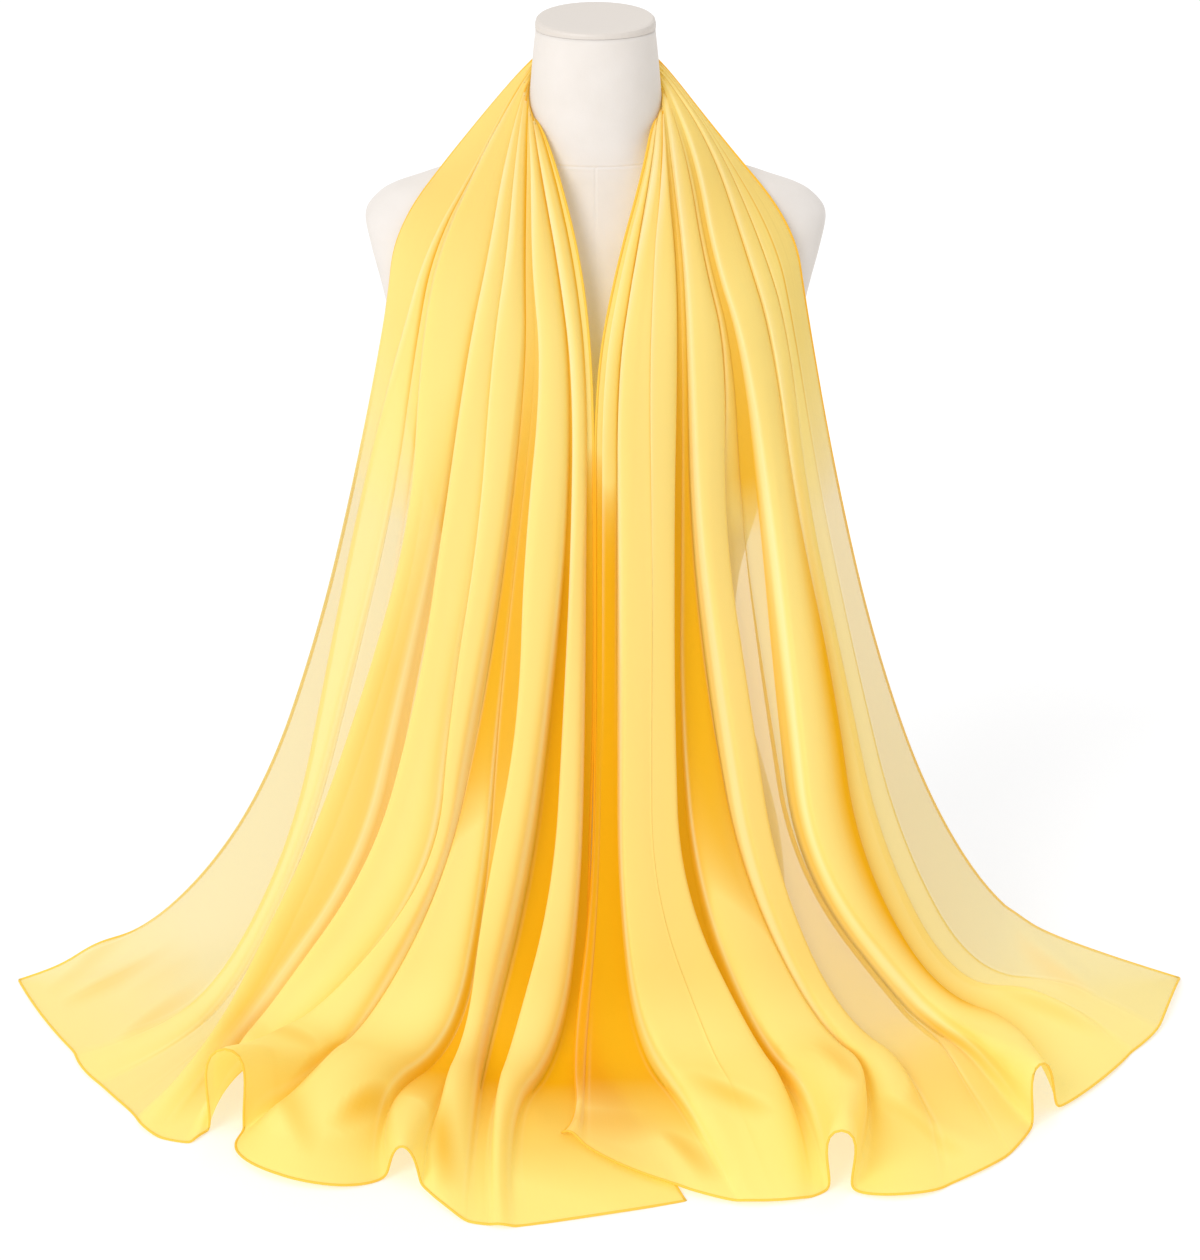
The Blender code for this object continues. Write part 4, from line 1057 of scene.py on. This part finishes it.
def form_points():
    """Rings of a superoval with exponent 2 / squareness, deeper in front or behind, clipped at the flat
    armholes."""
    table = np.array(RINGS, float)
    at = np.concatenate([[0], np.cumsum(np.hypot(np.diff(table[:, 0]), np.diff(table[:, 1])))])
    up, half, front, back, squareness = catmull_rom(table, at, form_levels(at, table[:, 0])).T[:, :, None]
    even = np.linspace(0, 2 * math.pi, FORM_SIDES + 1)
    angle = even - SIDE_BUNCHING / 4 * np.sin(4 * even)
    cosine, sine = np.cos(angle), np.sin(angle)
    cosine[FORM_SIDES // 4 :: FORM_SIDES // 2] = 0
    sine[:: FORM_SIDES // 2] = 0
    x = half * np.sign(cosine) * np.abs(cosine) ** (2 / squareness)
    y = np.where(sine < 0, front, back) * np.sign(sine) * np.abs(sine) ** (2 / squareness)
    points = np.stack([x, y, up + 0 * x], 2) * MM
    limit = ARMHOLE_TOP[0] - ARMHOLE_LEAN * (ARMHOLE_TOP[1] - np.maximum(points[..., 2], ARMHOLE_DEEPEST))
    limit = limit + ARMHOLE_RUN_OUT * np.maximum(0, ARMHOLE_DEEPEST - points[..., 2])
    over = np.abs(points[..., 0]) / limit
    points[..., 0] /= (1 + over**ARMHOLE_ROUNDING) ** (1 / ARMHOLE_ROUNDING)
    return points


def groove(distance):
    """A sewn seam at a distance d, in half widths: a valley -exp(-d^2) between two soft welts WELT_HEIGHT
    exp(-((|d| - WELT_PLACE) / WELT_WIDTH)^2), all times SEAM_DEPTH."""
    d = distance / SEAM_HALF
    welt = np.exp(-(((np.abs(d) - WELT_PLACE) / WELT_WIDTH) ** 2))
    return SEAM_DEPTH * (WELT_HEIGHT * welt - np.exp(-(d**2)))


def seamed(points):
    """The seams move the cover in or out: one round the base of the neck, and below it one down the front,
    one down the back and one on each side."""
    x, y, up = points[..., 0], points[..., 1], points[..., 2]
    level = NECK_SEAM_UP + NECK_SEAM_RISE * (1 + y / NECK_BASE_RADIUS) / 2
    shift = groove(up - level)
    shift = shift + np.where(up < level, groove(x) + groove(y - SIDE_SEAM_BACK), 0)
    around = points * (1, 1, 0)
    reach = np.linalg.norm(around, axis=2, keepdims=True)
    return points + around / np.maximum(reach, MM) * shift[..., None]


cover_points = seamed(form_points())
print("form cover:", cover_points.shape[0] * cover_points.shape[1], "points")

# %% [markdown]
# ## The cover and the hard pieces
#
# The cover is a fine off-white cotton jersey: its stitches scatter light softly, so it has no gloss, only a
# little sheen, and a faint mottle where the knit is stretched more. The cap at the neck is satin paint, and
# the board is painted wood. Their solids from the frame are simple and right as they are, so they only get
# a finish.

# %% Cover, cap and board
COVER_COLOUR, COVER_MOTTLE = "#E0DAD5", "#D8D1CA"
MOTTLE_SPACING = 22.2 * MM
STITCH_SPACING = 1.43 * MM  # a real stitch is about 0.7 mm: drawn coarser, so that it shows close by
STITCH_HEIGHT = 0.3 * MM
SPECK_SPACING = 16.7 * MM  # the paint's slight unevenness
SPECK_HEIGHT = 0.2 * MM


def noise(tree, spacing, detail):
    """A noise pattern with spots about this far apart, on the piece's own place in space."""
    place = add(tree, "TexCoord").outputs["Object"]
    inputs = {"Scale": 1 / spacing, "Detail": detail}
    return add(tree, "TexNoise", links={"Vector": place}, inputs=inputs).outputs["Fac"]


def jersey(name):
    """Off-white knitted cover: fine stitches on a faintly mottled colour."""
    material, tree = new_material(name)
    shade = mix_colour(tree, noise(tree, MOTTLE_SPACING, 3), COVER_COLOUR, COVER_MOTTLE)
    knit = noise(tree, STITCH_SPACING, 2)
    stitches = {"Strength": 0.25, "Distance": STITCH_HEIGHT}
    bumped = add(tree, "Bump", links={"Height": knit}, inputs=stitches).outputs["Normal"]
    surface = add(
        tree, "BsdfPrincipled", links={"Base Color": shade, "Normal": bumped},
        inputs={"Roughness": 0.85, "Sheen Weight": 0.2, "Specular IOR Level": 0.2},
    ).outputs["BSDF"]
    add(tree, "OutputMaterial", links={"Surface": surface})
    return material


def satin(name, colour, roughness):
    """Brushed-on paint: one colour, slightly uneven."""
    material, tree = new_material(name)
    specks = noise(tree, SPECK_SPACING, 4)
    uneven = {"Strength": 0.1, "Distance": SPECK_HEIGHT}
    bumped = add(tree, "Bump", links={"Height": specks}, inputs=uneven).outputs["Normal"]
    paint = {"Base Color": linear(colour), "Roughness": roughness}
    surface = add(tree, "BsdfPrincipled", links={"Normal": bumped}, inputs=paint).outputs["BSDF"]
    add(tree, "OutputMaterial", links={"Surface": surface})
    return material


def add_cover(points):
    """The cover, closed by a flat fan at its foot and at its top."""
    base, top = points[0].mean(0), points[-1].mean(0)
    foot, head = (np.broadcast_to(point, points[:1].shape) for point in (base, top))
    mesh = grid_mesh("form_cover", np.concatenate([foot, points, head]))
    piece = add_object("form_cover", mesh, jersey("off_white_jersey_cover"))
    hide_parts("form_torso")
    return piece


def finish_node(name, material):
    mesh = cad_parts[name].data
    mesh.materials.clear()
    mesh.materials.append(material)


add_cover(cover_points)
finish_node("form_neck_cap", satin("satin_cap_paint", "#D2CAC2", 0.5))
finish_node("form_base_board", satin("painted_board", "#D9D2C8", 0.6))
print("materials:", sorted(material.name for material in bpy.data.materials))

# %% [markdown]
# ## Floor and light
#
# The studio is white all round: a pale floor, an even white surround, a large soft key light from the front
# left and a weaker one from behind, which shines through the cloth.

# %% Floor, world and lights
FLOOR_HALF = 14  # metres
FLOOR_COLOUR = "#CACACA"
FLOOR_GLOW = 0.42  # the lit white sweep under the cloth
WHITE = (1, 1, 1, 1)
WORLD_STRENGTH = 0.79
KEY = (-34, 30, 1.5, 30)  # azimuth, height, strength, spread
BACK = (160, 45, 0.5, 40)
SHEETS_DEEP = 24  # how many see-through surfaces one ray may pass


def add_floor():
    mesh = bpy.data.meshes.new("floor")
    corners = FLOOR_HALF * np.array([(-1, -1, 0), (1, -1, 0), (1, 1, 0), (-1, 1, 0)], float)
    mesh.from_pydata(corners, [], [(0, 1, 2, 3)])
    material, tree = new_material("pale_floor")
    paper = {"Base Color": linear(FLOOR_COLOUR), "Roughness": 0.9, "Specular IOR Level": 0.1}
    lit = {"Emission Color": WHITE, "Emission Strength": FLOOR_GLOW}
    surface = add(tree, "BsdfPrincipled", inputs={**paper, **lit}).outputs["BSDF"]
    add(tree, "OutputMaterial", links={"Surface": surface})
    mesh.materials.append(material)
    floor = bpy.data.objects.new("floor", mesh)
    bpy.context.scene.collection.objects.link(floor)


def add_sun(name, azimuth, height, strength, spread):
    """A distant light from the azimuth, counted from the front towards +X, at a height in degrees, as wide
    as spread degrees, so that its shadows are soft."""
    data = bpy.data.lights.new(name, "SUN")
    data.energy, data.angle = strength, math.radians(spread)
    light = bpy.data.objects.new(name, data)
    light.rotation_euler = (math.radians(90 - height), 0, math.radians(azimuth))
    bpy.context.scene.collection.objects.link(light)


def light_studio():
    scene = bpy.context.scene
    scene.world = scene.world or bpy.data.worlds.new("world")
    scene.world.use_nodes = True
    surround = scene.world.node_tree.nodes["Background"]
    surround.inputs["Color"].default_value = WHITE
    surround.inputs["Strength"].default_value = WORLD_STRENGTH
    add_sun("key", *KEY)
    add_sun("back", *BACK)
    scene.view_settings.view_transform = "Standard"
    scene.cycles.transparent_max_bounces = SHEETS_DEEP


add_floor()
light_studio()
print("lights:", [light.name for light in bpy.data.lights])
